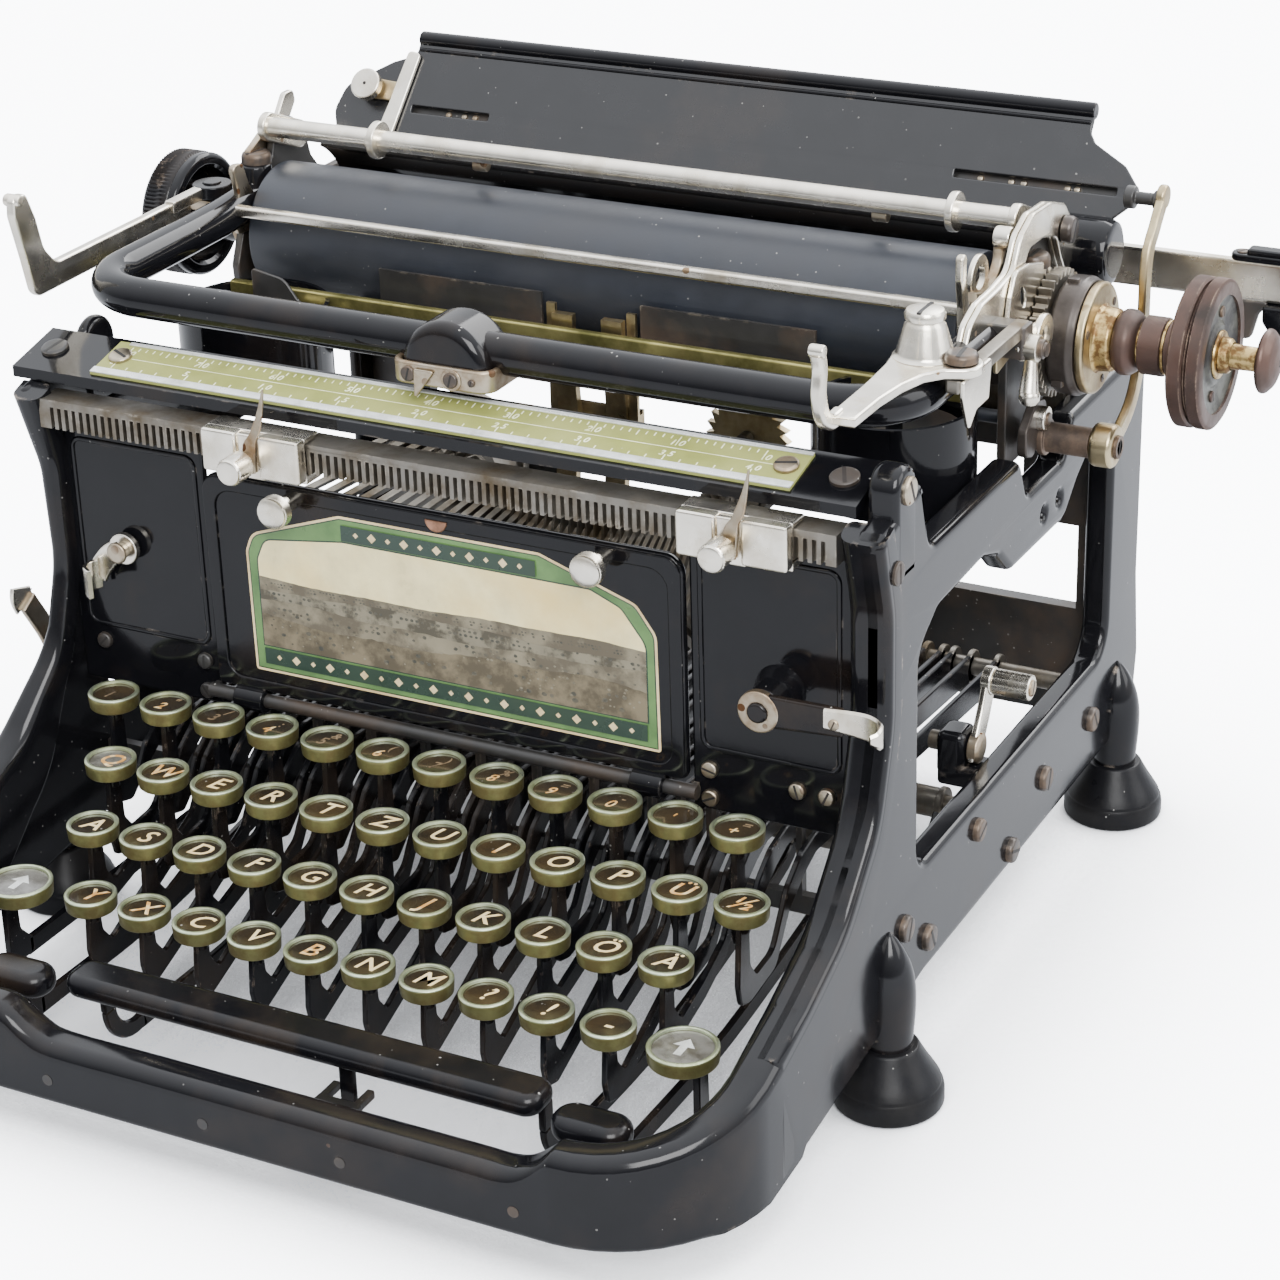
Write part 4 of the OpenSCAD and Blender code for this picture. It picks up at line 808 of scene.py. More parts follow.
# Thin dark sheets set over slots and holes: a painted shade in place of their shaded recesses
SLOT_SHADE = finish("slot_dark", (0.006, 0.005, 0.004), 0.6, stain=((0.02, 0.012, 0.008),))
BORDER_CREAM = finish("border_cream", (0.66, 0.53, 0.29), 0.35,
    stain=((0.48, 0.34, 0.16), None, 60.0, 0.45, 0.7), spots=((0.1, 0.07, 0.04), 0.05))
BORDER_GREEN = finish("border_green", (0.095, 0.19, 0.055), 0.3,
    stain=((0.06, 0.13, 0.04), None, 70.0, 0.45, 0.7), spots=((0.3, 0.28, 0.2), 0.02))
BAND_DARK = finish("band_dark", (0.012, 0.030, 0.018), 0.25, stain=((0.02, 0.04, 0.02),))
SKY = finish("painted_sky", (0.78, 0.68, 0.36), 0.3, stain=((0.74, 0.56, 0.22), None, 24.0, 0.45, 0.72),
    spots=((0.05, 0.05, 0.05), 0.02), spec=0.3)
FIELD_NEAR = finish("painted_field", (0.085, 0.070, 0.045), 0.34,
    stain=((0.17, 0.14, 0.09), None, 90.0, 0.44, 0.58), spots=((0.03, 0.028, 0.02), 0.1), spec=0.25)
FIELD_MID = finish("painted_meadow", (0.19, 0.17, 0.12), 0.34,
    stain=((0.07, 0.062, 0.045), None, 110.0, 0.46, 0.56), spots=((0.03, 0.028, 0.02), 0.1), spec=0.25)
FIELD_FAR = finish("painted_hills", (0.20, 0.175, 0.12), 0.34,
    stain=((0.10, 0.085, 0.06), None, 80.0, 0.44, 0.58), spots=((0.04, 0.035, 0.03), 0.08), spec=0.25)
TREES = finish("painted_trees", (0.035, 0.035, 0.025), 0.36,
    stain=((0.09, 0.08, 0.055), None, 300.0, 0.42, 0.6))
LETTER = finish("letter_cream", (0.78, 0.62, 0.33), 0.35, stain=((0.70, 0.50, 0.22), None, 300.0, 0.42, 0.66))
LETTER_FADED = finish("letter_faded", (0.52, 0.26, 0.07), 0.35,
    stain=((0.75, 0.60, 0.32), None, 350.0, 0.45, 0.62))
LETTER_DIM = finish("letter_dim", (0.20, 0.14, 0.08), 0.4,
    stain=((0.08, 0.055, 0.03), None, 400.0, 0.45, 0.6))
CARD_CLOUDED = finish("clouded_card", (0.13, 0.125, 0.11), 0.2,
    stain=((0.05, 0.045, 0.035), None, 130.0, 0.42, 0.62), coat=0.5, dust=0.4)
MARK = finish("scale_marks", (0.86, 0.88, 0.60), 0.4, stain=((0.55, 0.56, 0.28), None, 200.0, 0.45, 0.7))
COPPER = finish("copper_catch", (0.42, 0.22, 0.14), 0.36, 0.9,
    stain=((0.2, 0.11, 0.07), 0.5, 150.0, 0.42, 0.62), bump=(0.1,))
SCREW_BROWN = finish("brown_screw", (0.055, 0.045, 0.038), 0.34, 0.5,
    stain=((0.11, 0.075, 0.05), 0.45, 180.0, 0.42, 0.62), worn=((0.3, 0.25, 0.2), 0.24, 0.0006), bump=(0.15,))
# Painted shade: a darker copy of the key ring's metal, for the ring's side wall
RING_SIDE_SHADED = finish("key_ring_side", (0.20, 0.19, 0.075), 0.34, 0.8,
    stain=((0.13, 0.105, 0.04), 0.5, 130.0, 0.4, 0.62), worn=((0.5, 0.48, 0.3), 0.22, 0.0005, 1.0),
    bump=(0.08,))


# ---------------------------------------------------------------- front panels and cover
@piece("front_panels_pressed", "frame", ["front_panels"], "black_enamel")
def front_panels(shape):
    for x0, x1 in ((-130, -78.6), (80.6, 130)):
        shape.sheet(ENAMEL, on_y(-40.5), oblong(x0, x1, 78, 169.5, 0.6), 2, 2.5, 0.8)
        a, b = (x0 + 3.5, x1 - 2.6) if x0 < 0 else (x0 + 2.6, x1 - 3.5)
        ring = rounded(oblong(a, b, 97, 159, 4), 6)
        shape.add(plate(ring, 1.0, 0.5, [inset(ring, 1.5)], 3), ENAMEL, on_y(-41.1))
    shape.turned(NICKEL_WORN, [(0, 2.5), (7, 2.5), (7, 3.4), (8.1, 3.4), (8.6, 2.2)], (-108, -39.9, 126),
        FRONT, 20, 0.4)
    shape.turned(ENAMEL, [(0, 8), (2, 7.4), (6, 5.9), (12.4, 5.5), (12.6, 3), (16.6, 3), (17, 2.2)],
        (108, -39.6, 120), FRONT, 30, 0.5)


@piece("front_cover_pressed", "front_cover", ["front_cover"], "black_enamel")
def front_cover(shape):
    outline = rounded([(-78, 87, 2.5), (80, 87, 2.5), (80, 156, 6), (-78, 156, 6)], 7)
    shape.add(plate(outline, 3, 1.2, steps=4), ENAMEL, on_y(-43))
    field = rounded([(-73.4, 91, 5), (75.4, 91, 5), (75.4, 151.2, 6), (-73.4, 151.2, 6)], 7)
    shape.add(plate(inset(outline, 0.5), 0.9, 0.55, [field], 3), ENAMEL, on_y(-43.75))
    for x in (-66, 68):
        shape.turned(ENAMEL, washer(2.3, 4, 10), (x - 5, -43, 84), RIGHT, 24, 0.5)
        shape.add(block((x - 5, -43.2, 84.5), (x + 5, -40.2, 88.5), 0.5), ENAMEL)
    # Painted shade: a flat dark sheet stands for the shaded opening behind the copper catch
    shape.sheet(SLOT_SHADE, on_y(-43.4), [(-4, 151.6, 1.2), (9, 151.6, 1.2), (9, 154.2, 1.2),
        (-4, 154.2, 1.2)], 4, 0.5, 0.2)
    half = [Vector((2.6, 154))] + ring_points((2.6, 154), 3.6, 180, 360, 14)
    shape.add(plate(half, 1.2, 0.4), COPPER, on_y(-44.3))


PICTURE_FACE = -43.06


@piece("cover_picture", "front_cover", slot="scale")
def cover_picture(shape):
    """A made-up country view in a green and cream border."""
    frame_line = [(-30.8, 149.5, 3), (-61.6, 139, 6), (-64, 133, 4), (-63.7, 94.3, 1), (72, 94.3, 1),
        (71.6, 130.5, 6), (65.4, 139.2, 5), (35.1, 149.5, 3)]
    outer = rounded(frame_line, 6)
    if area(outer) < 0:
        outer = outer[::-1]
    face = PICTURE_FACE

    def leaf(paint, points, edge=0.01):
        shape.add(plate(points, 0.05, edge, steps=1), paint, on_y(face))

    def layer(paint, points=None):
        """The next layer of paint, with the points as its first leaf."""
        nonlocal face
        face -= 0.03
        if points:
            leaf(paint, points, 0.015)
    for depth, paint in ((0, BORDER_CREAM), (0.8, BAND_DARK), (1.15, BORDER_GREEN)):
        layer(paint, inset(outer, depth))
    left, right, low, top = -59.9, 68, 103.2, 141
    pane = rounded([(left, low), (right, low), (right, 127, 7), (60.5, 137, 5), (51, top, 4),
        (-30, top + 0.2, 2), (-57, 137.4, 4), (left, 131, 4)], 6)
    layer(BAND_DARK, inset(pane, -0.45))
    layer(SKY, pane)
    rnd = random.Random(4)

    def land(base, rough, paint):
        ridge = []
        for k in range(65):
            x = right - (right - left) * k / 64
            wave = math.sin(x * 0.05 + base) * rough + math.sin(x * 0.17 + base * 2) * rough * 0.4
            ridge.append((x, base + wave + rnd.uniform(-0.2, 0.2) * rough))
        layer(paint, [(left, low), (right, low)] + ridge)

    def crowns(share, z0, z1, size, paint):
        layer(paint)
        cell = 2.5 * size
        for j in range(max(1, int((z1 - z0) / (cell * 0.8)))):
            start = left + 1.5 + rnd.uniform(0, cell)
            for i in range(int((right - start - 1.5) / cell)):
                if rnd.random() > share:
                    continue
                x, z, r = start + cell * (i + 0.5), z0 + cell * 0.8 * (j + 0.5), rnd.uniform(0.55, 1.0) * size
                leaf(paint, [(x + r * rnd.uniform(0.8, 1.2) * math.cos(0.7 * k),
                    z + r * 0.75 * math.sin(0.7 * k)) for k in range(9)])
    land(125.2, 0.5, FIELD_FAR)
    crowns(0.45, 122.5, 124.6, 0.45, TREES)
    land(121.6, 0.7, FIELD_MID)
    crowns(0.5, 118.5, 121.4, 0.7, TREES)
    land(117.6, 0.9, FIELD_FAR)
    crowns(0.4, 113.5, 117.2, 0.8, TREES)
    land(112.6, 1.2, FIELD_NEAR)
    crowns(0.18, 104.6, 111.8, 1.0, TREES)
    crowns(0.1, 104.6, 116, 0.5, FIELD_MID)
    for x0, x1, z0, z1 in ((left, right, 97.1, 102.3), (-30, 34, 142, 146.9)):
        layer(BAND_DARK, oblong(x0, x1, z0, z1))
        layer(BORDER_CREAM)
        steps = int((x1 - x0) / 6.2)
        for k in range(steps + 1):
            x, z = x0 + 5 + (x1 - x0 - 10) * k / steps, (z0 + z1) / 2
            r = 1.5 if k % 2 else 0.9
            leaf(BORDER_CREAM, [(x - r, z), (x, z - r), (x + r, z), (x, z + r)])


@piece("cover_knobs_knurled", "front_cover", ["cover_knobs"], "nickel")
def cover_knobs(shape):
    z = 151.2
    for x in (-47, 55):
        shape.add(rod((x, -43, z), (x, -50, z), 2.6, 0.3), NICKEL)
        shape.add(knurled((x, -49.5, z), FRONT, 5, 3.4, 36, 0.18, 4), NICKEL)
        shape.add(lathe([(0, 4.7), (0.5, 4.6), (0.9, 3.9), (1.1, 2.2), (1.15, 0.02)], (x, -52.85, z), FRONT,
            36), NICKEL)


# ---------------------------------------------------------------- margin scale
SCALE_SLOPE = 5 / 21
SCALE_TILT = math.atan(SCALE_SLOPE)
SCALE_FRONT = (-42, 181.18)  # y and z of its front edge


def on_scale(x=0.0, v=0.0, lift=0.0):
    """Local (u, v, w) on the scale's top face; v runs from its front edge to the back."""
    cos, sin = math.cos(SCALE_TILT), math.sin(SCALE_TILT)

    def place(p):
        b, c = p[1] + v, p[2] + lift
        return Vector((p[0] + x, SCALE_FRONT[0] + b * cos - c * sin, SCALE_FRONT[1] + b * sin + c * cos))
    return place


@piece("scale_strips_and_marks", "frame", slot="scale")
def margin_scale(shape):
    shape.add(plate(oblong(-115, 112, 0, 2.7), 0.55, 0.2), STRIP_WHITE, on_scale(lift=-0.1))
    shape.add(plate(oblong(-111, 112, 15.5, 16.9), 0.55, 0.2), STRIP_WHITE, on_scale(lift=-0.1))
    shape.add(plate(oblong(-106, 104, 9.0, 9.25), 0.06, 0.01, steps=1), MARK, on_scale(lift=0.01))
    for n in range(0, 81):
        x = -108.9 + (80 - n) * LETTER_PITCH
        long = 2.3 if n % 5 == 0 else 1.5
        shape.add(plate(oblong(x - 0.19, x + 0.19, 14.7 - long, 14.7), 0.06, 0.01, steps=1), MARK,
            on_scale(lift=0.01))
        if n % 10 == 0:
            for digit, dx in zip(("%d" % n).zfill(2), (-1.35, 1.35)) if n else (("0", 1.35),):
                shape.add(lettering(digit, 3.4, 0.2, 0.06), MARK, on_scale(x + dx, 11.6, 0.03))
            shape.add(plate(oblong(x - 0.17, x + 0.17, 10.4, 14.7), 0.06, 0.01, steps=1), MARK,
                on_scale(lift=0.012))
    for n in range(0, 41):
        x = -109.7 + n * 2 * LETTER_PITCH
        long = 1.3 if n % 5 else 2.4
        shape.add(plate(oblong(x - 0.19, x + 0.19, 3.3, 3.3 + long), 0.06, 0.01, steps=1), MARK,
            on_scale(lift=0.01))
        if n % 5 == 0:
            digits = "%d" % n
            for digit, dx in zip(digits, (-1.35, 1.35) if len(digits) == 2 else (-1.35,)):
                shape.add(lettering(digit, 3.2, 0.2, 0.06), MARK, on_scale(x + dx, 6.3, 0.03))


@piece("slotted_screws", "frame", ["frame_screws"], "old_nickel")
def top_screws(shape):
    """All the slotted screws of the frame."""
    up = (0, -math.sin(SCALE_TILT), math.cos(SCALE_TILT))
    for k, (x, r, lift) in enumerate(((-134, 4.2, 0), (124, 4.2, 0), (-110, 3.6, 0.8), (107, 3.6, 0.8))):
        z = 179.9 + 11 * SCALE_SLOPE + lift
        screw(shape, (x, -33, z), up, r, 1.4, IRON if k < 2 else NICKEL_WORN, 0.5 + k * 0.7)
    for k, (x, z) in enumerate(((-121, 92), (-84, 92), (-84, 82), (86, 91), (86, 82), (122, 90), (113, 90))):
        screw(shape, (x, -40.4, z), FRONT, 2.6, 1.6, NICKEL_WORN if k > 2 else IRON, 0.7 * k)
    for side in (-1, 1):
        for k, (y, z) in enumerate(((-35, 50), (-18, 38), (48, 33), (20, 54), (76, 44), (118, 45))):
            screw(shape, (142.8 if side > 0 else -137.5, y, z), (side, 0, 0), 4 if k != 3 else 3.6, 2.1,
                SCREW_BROWN, 0.4 + 0.8 * k)
    screw(shape, (142.9, -35, 183), RIGHT, 4, 1.5, NICKEL_WORN, 1.2)
    screw(shape, (142.9, -42, 162), RIGHT, 3.4, 1.2, IRON, 0.8)


# ---------------------------------------------------------------- margin stops and levers
def margin_stop(x, body):
    shape = Shape(body + "_clamp")
    back = -50.3  # y of the clamp block's back
    shape.add(block((x, back - 5, 162.5), (x + 12, back, 175.5), 0.9), NICKEL)
    shape.add(block((x + 19.4, back - 5, 162.5), (x + 33, back, 175.5), 0.9), NICKEL)
    shape.add(block((x + 11, back - 3.6, 161.6), (x + 20.4, back, 175), 0.6), NICKEL)
    shape.add(block((x, back - 1, 173.85), (x + 33, -43.5, 175.4), 0.4), NICKEL)
    shape.add(block((x, back - 1, 161.5), (x + 33, -43.5, 164.1), 0.4), NICKEL)
    tip = curve_through([(x + 16.2, back - 4.3, 164), (x + 16.6, back - 4.4, 172),
        (x + 18.6, back - 3.4, 177), (x + 20.0, back - 2.4, 183), (x + 20.8, back - 1.6, 189)], 5)
    widths = [3.4, 3.4, 3.6, 3.9, 4.2, 4.2, 3.6, 2.9, 2.6, 2.7, 2.9, 2.7, 2.4, 2.1, 1.9, 1.6, 1.4, 1.2, 0.9,
        0.7, 0.4]
    shape.add(bar(tip, lambda i: box_section(widths[min(i, 20)], 0.9, 0.3), FRONT), NICKEL_WORN)
    knob = Vector((x + 14.85, back - 4.4, 167))
    shape.add(rod(knob, knob + Vector((0, -2, 0)), 2.6, 0.2), NICKEL)
    shape.add(knurled(knob + Vector((0, -1.8, 0)), FRONT, 4.2, 7.0, 30, 0.32, 9), NICKEL)
    shape.add(lathe([(0, 3.8), (0.5, 3.6), (0.75, 2.8), (0.8, 0.02)], knob + Vector((0, -8.8, 0)), FRONT, 28),
        NICKEL)
    return shape.done(body, [body], "nickel")


margin_stop(-68, "margin_stop_left")
margin_stop(84, "margin_stop_right")


@piece("left_panel_lever", "panel_lever_left", ["panel_lever_left"], "old_nickel")
def left_panel_lever(shape):
    shape.ring(NICKEL, washer(2.6, 5, 2.2), (-108, -42.3, 126), FRONT, 28, 0.4)
    path = curve_through([(-108, 126), (-113, 123.5), (-117, 119), (-119, 115.5)], 5)
    shape.add(plate(strip(path, 7), 2, 0.6), NICKEL, on_y(-44.5))
    finger = curve_through([(-118, -43.4), (-119.5, -46.5), (-118.6, -50), (-115.5, -52.3)], 6)
    shape.add(plate(strip(finger, 1.4), 9.5, 0.4), NICKEL, on_z(111.4))


@piece("right_panel_lever", "panel_lever_right", ["panel_lever_right"], "old_nickel")
def right_panel_lever(shape):
    y = -55.5
    shape.ring(NICKEL_WORN, washer(3.1, 6.2, 2.6), (108, y + 2.6, 120), FRONT, 32, 0.6)
    shape.sheet(LACQUER, on_y(y + 0.2), [(110, 115.6, 1), (133, 117.2, 1), (133, 125.6, 1), (110, 125.4, 1)],
        3, 2.2, 0.7)
    leaf = curve_through([(128, y - 0.4), (136, y - 0.9), (142, y - 2.2), (146.4, y - 5.2), (147.2, y - 8.6),
        (145.6, y - 10.4)], 6)
    spoon = []
    for i, p in enumerate(leaf):
        s = i / (len(leaf) - 1)
        half = 3.1 + 0.9 * math.sin(math.pi * min(1, s * 1.15)) - 1.4 * max(0, s - 0.7) * 4
        t = unit(leaf[min(i + 1, len(leaf) - 1)] - leaf[max(i - 1, 0)])
        n = Vector((t.y, -t.x))
        mid = 122.5 + 1.6 * s
        loop = [(-half, 0.0), (-half + 0.7, -0.6), (half - 0.7, -0.6), (half, 0.0), (half - 0.7, 0.6),
            (-half + 0.7, 0.6)]
        spoon.append([Vector((p.x + n.x * b, p.y + n.y * b, mid + a)) for a, b in loop])
    shape.add(sweep(spoon), NICKEL)
    screw(shape, (131, y - 0.9, 121.5), FRONT, 1.6, 0.8, NICKEL_WORN)


@piece("left_side_lever", "side_lever", ["side_lever"], "old_nickel")
def left_side_lever(shape):
    shape.add(knurled((-147.6, -32, 64), LEFT, 8, 5.6, 46, 0.25, 7, hole=3.1), NICKEL_WORN)
    shape.ring(NICKEL_WORN, [(0, 3.1), (0, 7.2), (0.9, 6.9), (1.0, 3.1)], (-153.1, -32, 64), LEFT, 32, 0.3)
    path = curve_through([(-32, 64), (-33, 76), (-37, 88), (-45, 102)], 7)
    shape.add(plate(strip(path, 7), 2.2, 0.7), NICKEL_WORN, on_x(-147.4))
    tab = curve_through([(-45, 101), (-46.5, 104.5), (-46, 107)], 4)
    shape.add(plate(strip(tab, 9), 1.6, 0.6), NICKEL, on_x(-148.4))


@piece("ribbon_winding_crank", "ribbon_crank", ["ribbon_crank"], "nickel")
def ribbon_winding_crank(shape):
    shape.add(rod((117, 47, 66), (133, 47, 66), 3, 0.4), STEEL)
    path = curve_through([(45.6, 62), (48, 68), (53, 76), (57.4, 85.4)], 7)
    shape.add(plate(strip(path, 7.4), 2.4, 0.8), NICKEL, on_x(130.4))
    shape.turned(NICKEL_WORN, [(0, 0.02), (0, 4.8), (3, 4.8), (3.6, 3.2), (3.6, 0.02)], (130.2, 47, 66),
        RIGHT, 26, 0.4)
    shape.turned(NICKEL, [(0, 0.02), (0, 4.4), (3, 4.4), (3.4, 3), (3.4, 0.02)], (130.2, 57, 84), RIGHT, 26,
        0.4)
    shape.add(knurled((133.4, 57, 84), RIGHT, 4, 11.8, 30, 0.3, 13), NICKEL)
    screw(shape, (145.1, 57, 84), RIGHT, 2.6, 0.7, NICKEL_WORN)


# ---------------------------------------------------------------- keyboard
# x of the first key, y and z of the key tops, height of the levers' feet, legends
KEY_ROWS = (
    (-107.4, -57, 84.6, 46, "1234567890'+"),
    (-98.4, -73.5, 71.5, 38, "QWERTZUIOPÜ½"),
    (-94.6, -90, 58.5, 29, "ASDFGHJKLÖÄ"),
    (-85.0, -106.6, 45.4, 19.5, "YXCVBNM?!-"))
TOP_MARKS = ["", "\"", "/", ":", "&", "(", ")", "%", "=", "-", "`", "="]


def lever_side(y, z, foot):
    lower = [p for p in ((-44, 54), (-54, 40), (-68, 34), (-84, 27)) if p[0] > y + 9 and p[1] > foot]
    back = [(118, 60.5), (-26, 69), (-36, 67), (-45, 61)]
    back += [(p[0] - 1, p[1] + 6) for p in lower if p[0] < -50]
    front = [(y + 7, foot + 7, 2), (y + 3.2, foot + 12, 4), (y + 2.6, z - 4), (y - 2.6, z - 4),
        (y - 4, foot + 8, 5), (y - 2.5, foot + 1.5, 2), (y + 3, foot, 2)]
    return rounded([p + (6,) if 0 < i < len(back) else p for i, p in enumerate(back)] + front
        + [p + (6,) for p in lower[::-1]] + [(-34, 60, 6), (-26, 63, 5), (118, 51.5)], 4)


def key_top(shape, x, y, z, r=7.8, card=None):
    ring = [(0, r - 1.5), (0, r - 0.7), (0.5, r - 0.25), (3.6, r), (4.2, r), (4.35, r - 0.1), (4.3, r - 1.4)]
    shape.add(lathe([(0.2, 0.02), (0.2, r - 0.8), (0.9, r - 0.6)], (x, y, z - 5), UP, 36), LACQUER)
    # Painted shade: the ring's side wall takes a darker copy of the metal of its top rim
    shape.add(lathe(ring, (x, y, z - 5), UP, 44, True), RING_SIDE_SHADED)
    shape.add(lathe([(4.3, r - 0.9), (4.3, r - 0.05), (4.6, r), (4.85, r - 0.2), (5.0, r - 0.6),
        (5.0, r - 0.95), (4.85, r - 1.25), (4.2, r - 1.45)], (x, y, z - 5), UP, 44, True), RING)
    shape.add(lathe([(4.05, r - 1.2), (4.16, r * 0.5), (4.2, 0.02)], (x, y, z - 5), UP, 36), card or KEY_CARD)


def key_row(row, name, only=None, skip=None):
    x0, y, z, foot, legends = KEY_ROWS[row]
    rnd = random.Random(40 + row)
    shape = Shape(name + "_keys")
    side = lever_side(y, z, foot)

    def on_card(dx=0.0, dy=0.0):
        """Local (u, v, w) on the card of the key at x."""
        return lambda p: Vector((x + (p[0] + dx), y + (p[1] + dy), z - 0.79 + p[2]))
    for i, legend in enumerate(legends):
        luck, _ = rnd.random(), rnd.random()
        if i == skip or (only is not None and i != only):
            continue
        x = x0 + i * KEY_PITCH
        shape.add(plate(side, 1.8, 0.35, steps=1), LACQUER, on_x(x - 0.9))
        shape.ring(STEEL, washer(3.05, 5.5, 1.8), (x - 0.9, 118, 56), RIGHT, 20, 0.3, 1)
        shape.add(rod((x, y, z - 9.5), (x, y, z - 4.6), 2.1, 0.3, 14), LACQUER)
        clouded = row == 1 and i == 0
        key_top(shape, x, y, z, card=CARD_CLOUDED if clouded else KEY_CARD)
        if row == 0:
            paint = LETTER_DIM if i in (0, 2, 4, 6) else LETTER_FADED
            shape.add(lettering(legend, 5.6, 0.25, 0.05), paint, on_card(-0.9, -1.6))
            if TOP_MARKS[i]:
                shape.add(lettering(TOP_MARKS[i], 4.6, 0.25, 0.04), LETTER_DIM, on_card(1.6, 2.4))
        else:
            paint = LETTER_FADED if luck < 0.2 or clouded else LETTER
            shape.add(lettering(legend, 9.0, 0.28, 0.09), paint, on_card())
    return shape.done(name, [name], "key_black")


key_row(0, "key_row_1")
key_row(1, "key_row_2")
key_row(2, "key_row_3", skip=5)
key_row(3, "key_row_4")
key_row(2, "key_h", only=5)


def hub(shape, x, y, z):
    """The boss of a low lever on its shaft."""
    shape.ring(STEEL, washer(3.1, 5.5, 2.2), (x - 1.1, y, z), RIGHT, 20, 0.3, 1)


def low_lever(shape, x, points, width):
    path = curve_through(points, 5)
    shape.add(plate(strip(path, width), 2.2, 0.45, steps=1), LACQUER, on_x(x - 1.1))


@piece("shift_keys_and_shaft", "shift_keys", ["shift_keys"], "key_black")
def shift_keys(shape):
    for x, kx, y in ((-112, -107, -111.5), (116, 111, -110.5)):
        low_lever(shape, x, [(60, 37), (44, 26), (30, 22), (-60, 20), (y + 6, 20)], 6)
        hub(shape, x, 60, 37)
        shape.sheet(LACQUER, on_x(x - 1.1), [(y + 8, 17.5, 2), (y + 8, 22.5, 2), (y + 3, 28, 3),
            (y + 2.6, 43.5), (y - 2.6, 43.5), (y - 3, 22, 2), (y, 17.5, 2)], 4, 2.2, 0.4)
        key_top(shape, kx, y, 47, 10, CARD_CLOUDED)
        arrow = [(-1.1, -4), (1.1, -4), (1.1, 0.5), (3.2, 0.5), (0, 4.4), (-3.2, 0.5), (-1.1, 0.5)]
        shape.add(plate(arrow, 0.06, 0.01, steps=1), STRIP_WHITE,
            lambda p: Vector((kx + p[0], y + p[1], 46.19 + p[2])))
    shape.add(lathe([(0, 3.1), (0, 4.8), (228, 4.8), (228, 3.1)], (-112, 60, 37), RIGHT, 24, True), STEEL)


def pill(x0, x1, y0, y1, z0, z1, corner, edge):
    """A flat bar with round ends and edges."""
    verts, faces = plate(rounded(oblong(x0, x1, y0, y1, corner), 8), z1 - z0, edge, steps=6)
    return [(x, y, z0 + z) for x, y, z in verts], faces


@piece("space_bar_and_arms", "space_bar", ["space_bar"], "black_paint")
def space_bar(shape):
    shape.add(pill(-72, 82, -141, -127, 32, 39, 5.2, 3.1), LACQUER)
    for x in (-63.1, 79.95):
        low_lever(shape, x, [(30, 34), (14, 26), (-60, 14), (-117.5, 13.8)], 5.5)
        hook = ring_points((-120, 25), 11.5, 290, 180, 10)
        shape.add(plate(strip(hook, 5), 2.2, 0.45, steps=1), LACQUER, on_x(x - 1.1))
        shape.add(block((x - 1.1, -134, 25), (x + 1.1, -129, 33), 0.4), LACQUER)
        hub(shape, x, 30, 34)
    shape.add(block((16.5, -135, 10), (21.5, -132.8, 33), 0.7), LACQUER)


def oval_key(name, x, lever):
    shape = Shape(name + "_pad")
    shape.add(pill(x - 11.5, x + 11.5, -142.5, -129.5, 28, 36, 6.3, 3.4), LACQUER)
    low_lever(shape, lever, [(30, 34), (14, 27), (-60, 17), (-128, 17)], 6)
    shape.sheet(LACQUER, on_x(lever - 1.1), [(-126, 14, 2), (-126, 20, 2), (-133, 24, 2), (-133, 29),
        (-139, 29), (-139, 20, 3), (-134, 14, 3)], 4, 2.2, 0.4)
    hub(shape, lever, 30, 34)
    return shape.done(name, [name], "black_paint")


oval_key("backspace_key", -90.5, -91.5)
oval_key("tabulator_key", 96.5, 99)


# ---------------------------------------------------------------- finishes on the carriage
KNOB_BROWN = finish("oxidised_knob", (0.088, 0.050, 0.038), 0.42, 0.6,
    stain=((0.038, 0.029, 0.025), 0.55, 45.0, 0.42, 0.66), worn=((0.34, 0.25, 0.19), 0.3, 0.0009, 1.0),
    bump=(0.15,))
KNOB_FACE = finish("stained_knob_face", (0.085, 0.085, 0.070), 0.34, 0.6,
    stain=((0.030, 0.028, 0.027), 0.5, 70.0, 0.44, 0.60), bump=(0.15,))
FLECKED_BRASS = finish("flecked_brass", (0.50, 0.36, 0.15), 0.30, 1.0,
    stain=((0.15, 0.085, 0.035), 0.5, 300.0, 0.44, 0.58), bump=(0.2,))
HUB_DARK = finish("dark_hub", (0.060, 0.050, 0.044), 0.34, 0.6,
    stain=((0.030, 0.024, 0.020), 0.5, 60.0, 0.42, 0.64), worn=((0.30, 0.23, 0.16), 0.25, 0.0008, 1.0),
    bump=(0.12,))
ARM_BROWN = finish("brown_barrel", (0.15, 0.105, 0.075), 0.44, 0.7,
    stain=((0.06, 0.045, 0.036), 0.6, 120.0, 0.42, 0.62), bump=(0.2,))
DULL_GILT = finish("dull_gilt", (0.36, 0.32, 0.12), 0.34, 0.9,
    stain=((0.10, 0.095, 0.03), 0.5, 40.0, 0.4, 0.62), bump=(0.08,))

TABLE_ENAMEL = finish("table_enamel", (0.006, 0.006, 0.007), 0.24,
    stain=((0.016, 0.012, 0.010), 0.3, 26.0, 0.52, 0.80), worn=((0.16, 0.14, 0.12), 0.18, 0.0009),
    bump=(0.03, 160.0), spec=0.62, dust=0.4)

TABLE_TILT = math.radians(55.6)


def on_paper_table(p):
    """Local (x, up the table, out of its face) to the part's frame."""
    c, s = math.cos(TABLE_TILT), math.sin(TABLE_TILT)
    return Vector((p[0], 112 + p[1] * c - p[2] * s, 200 + p[1] * s + p[2] * c))


def table_face(depth):
    return lambda p: on_paper_table((p[0], p[1], depth + p[2]))


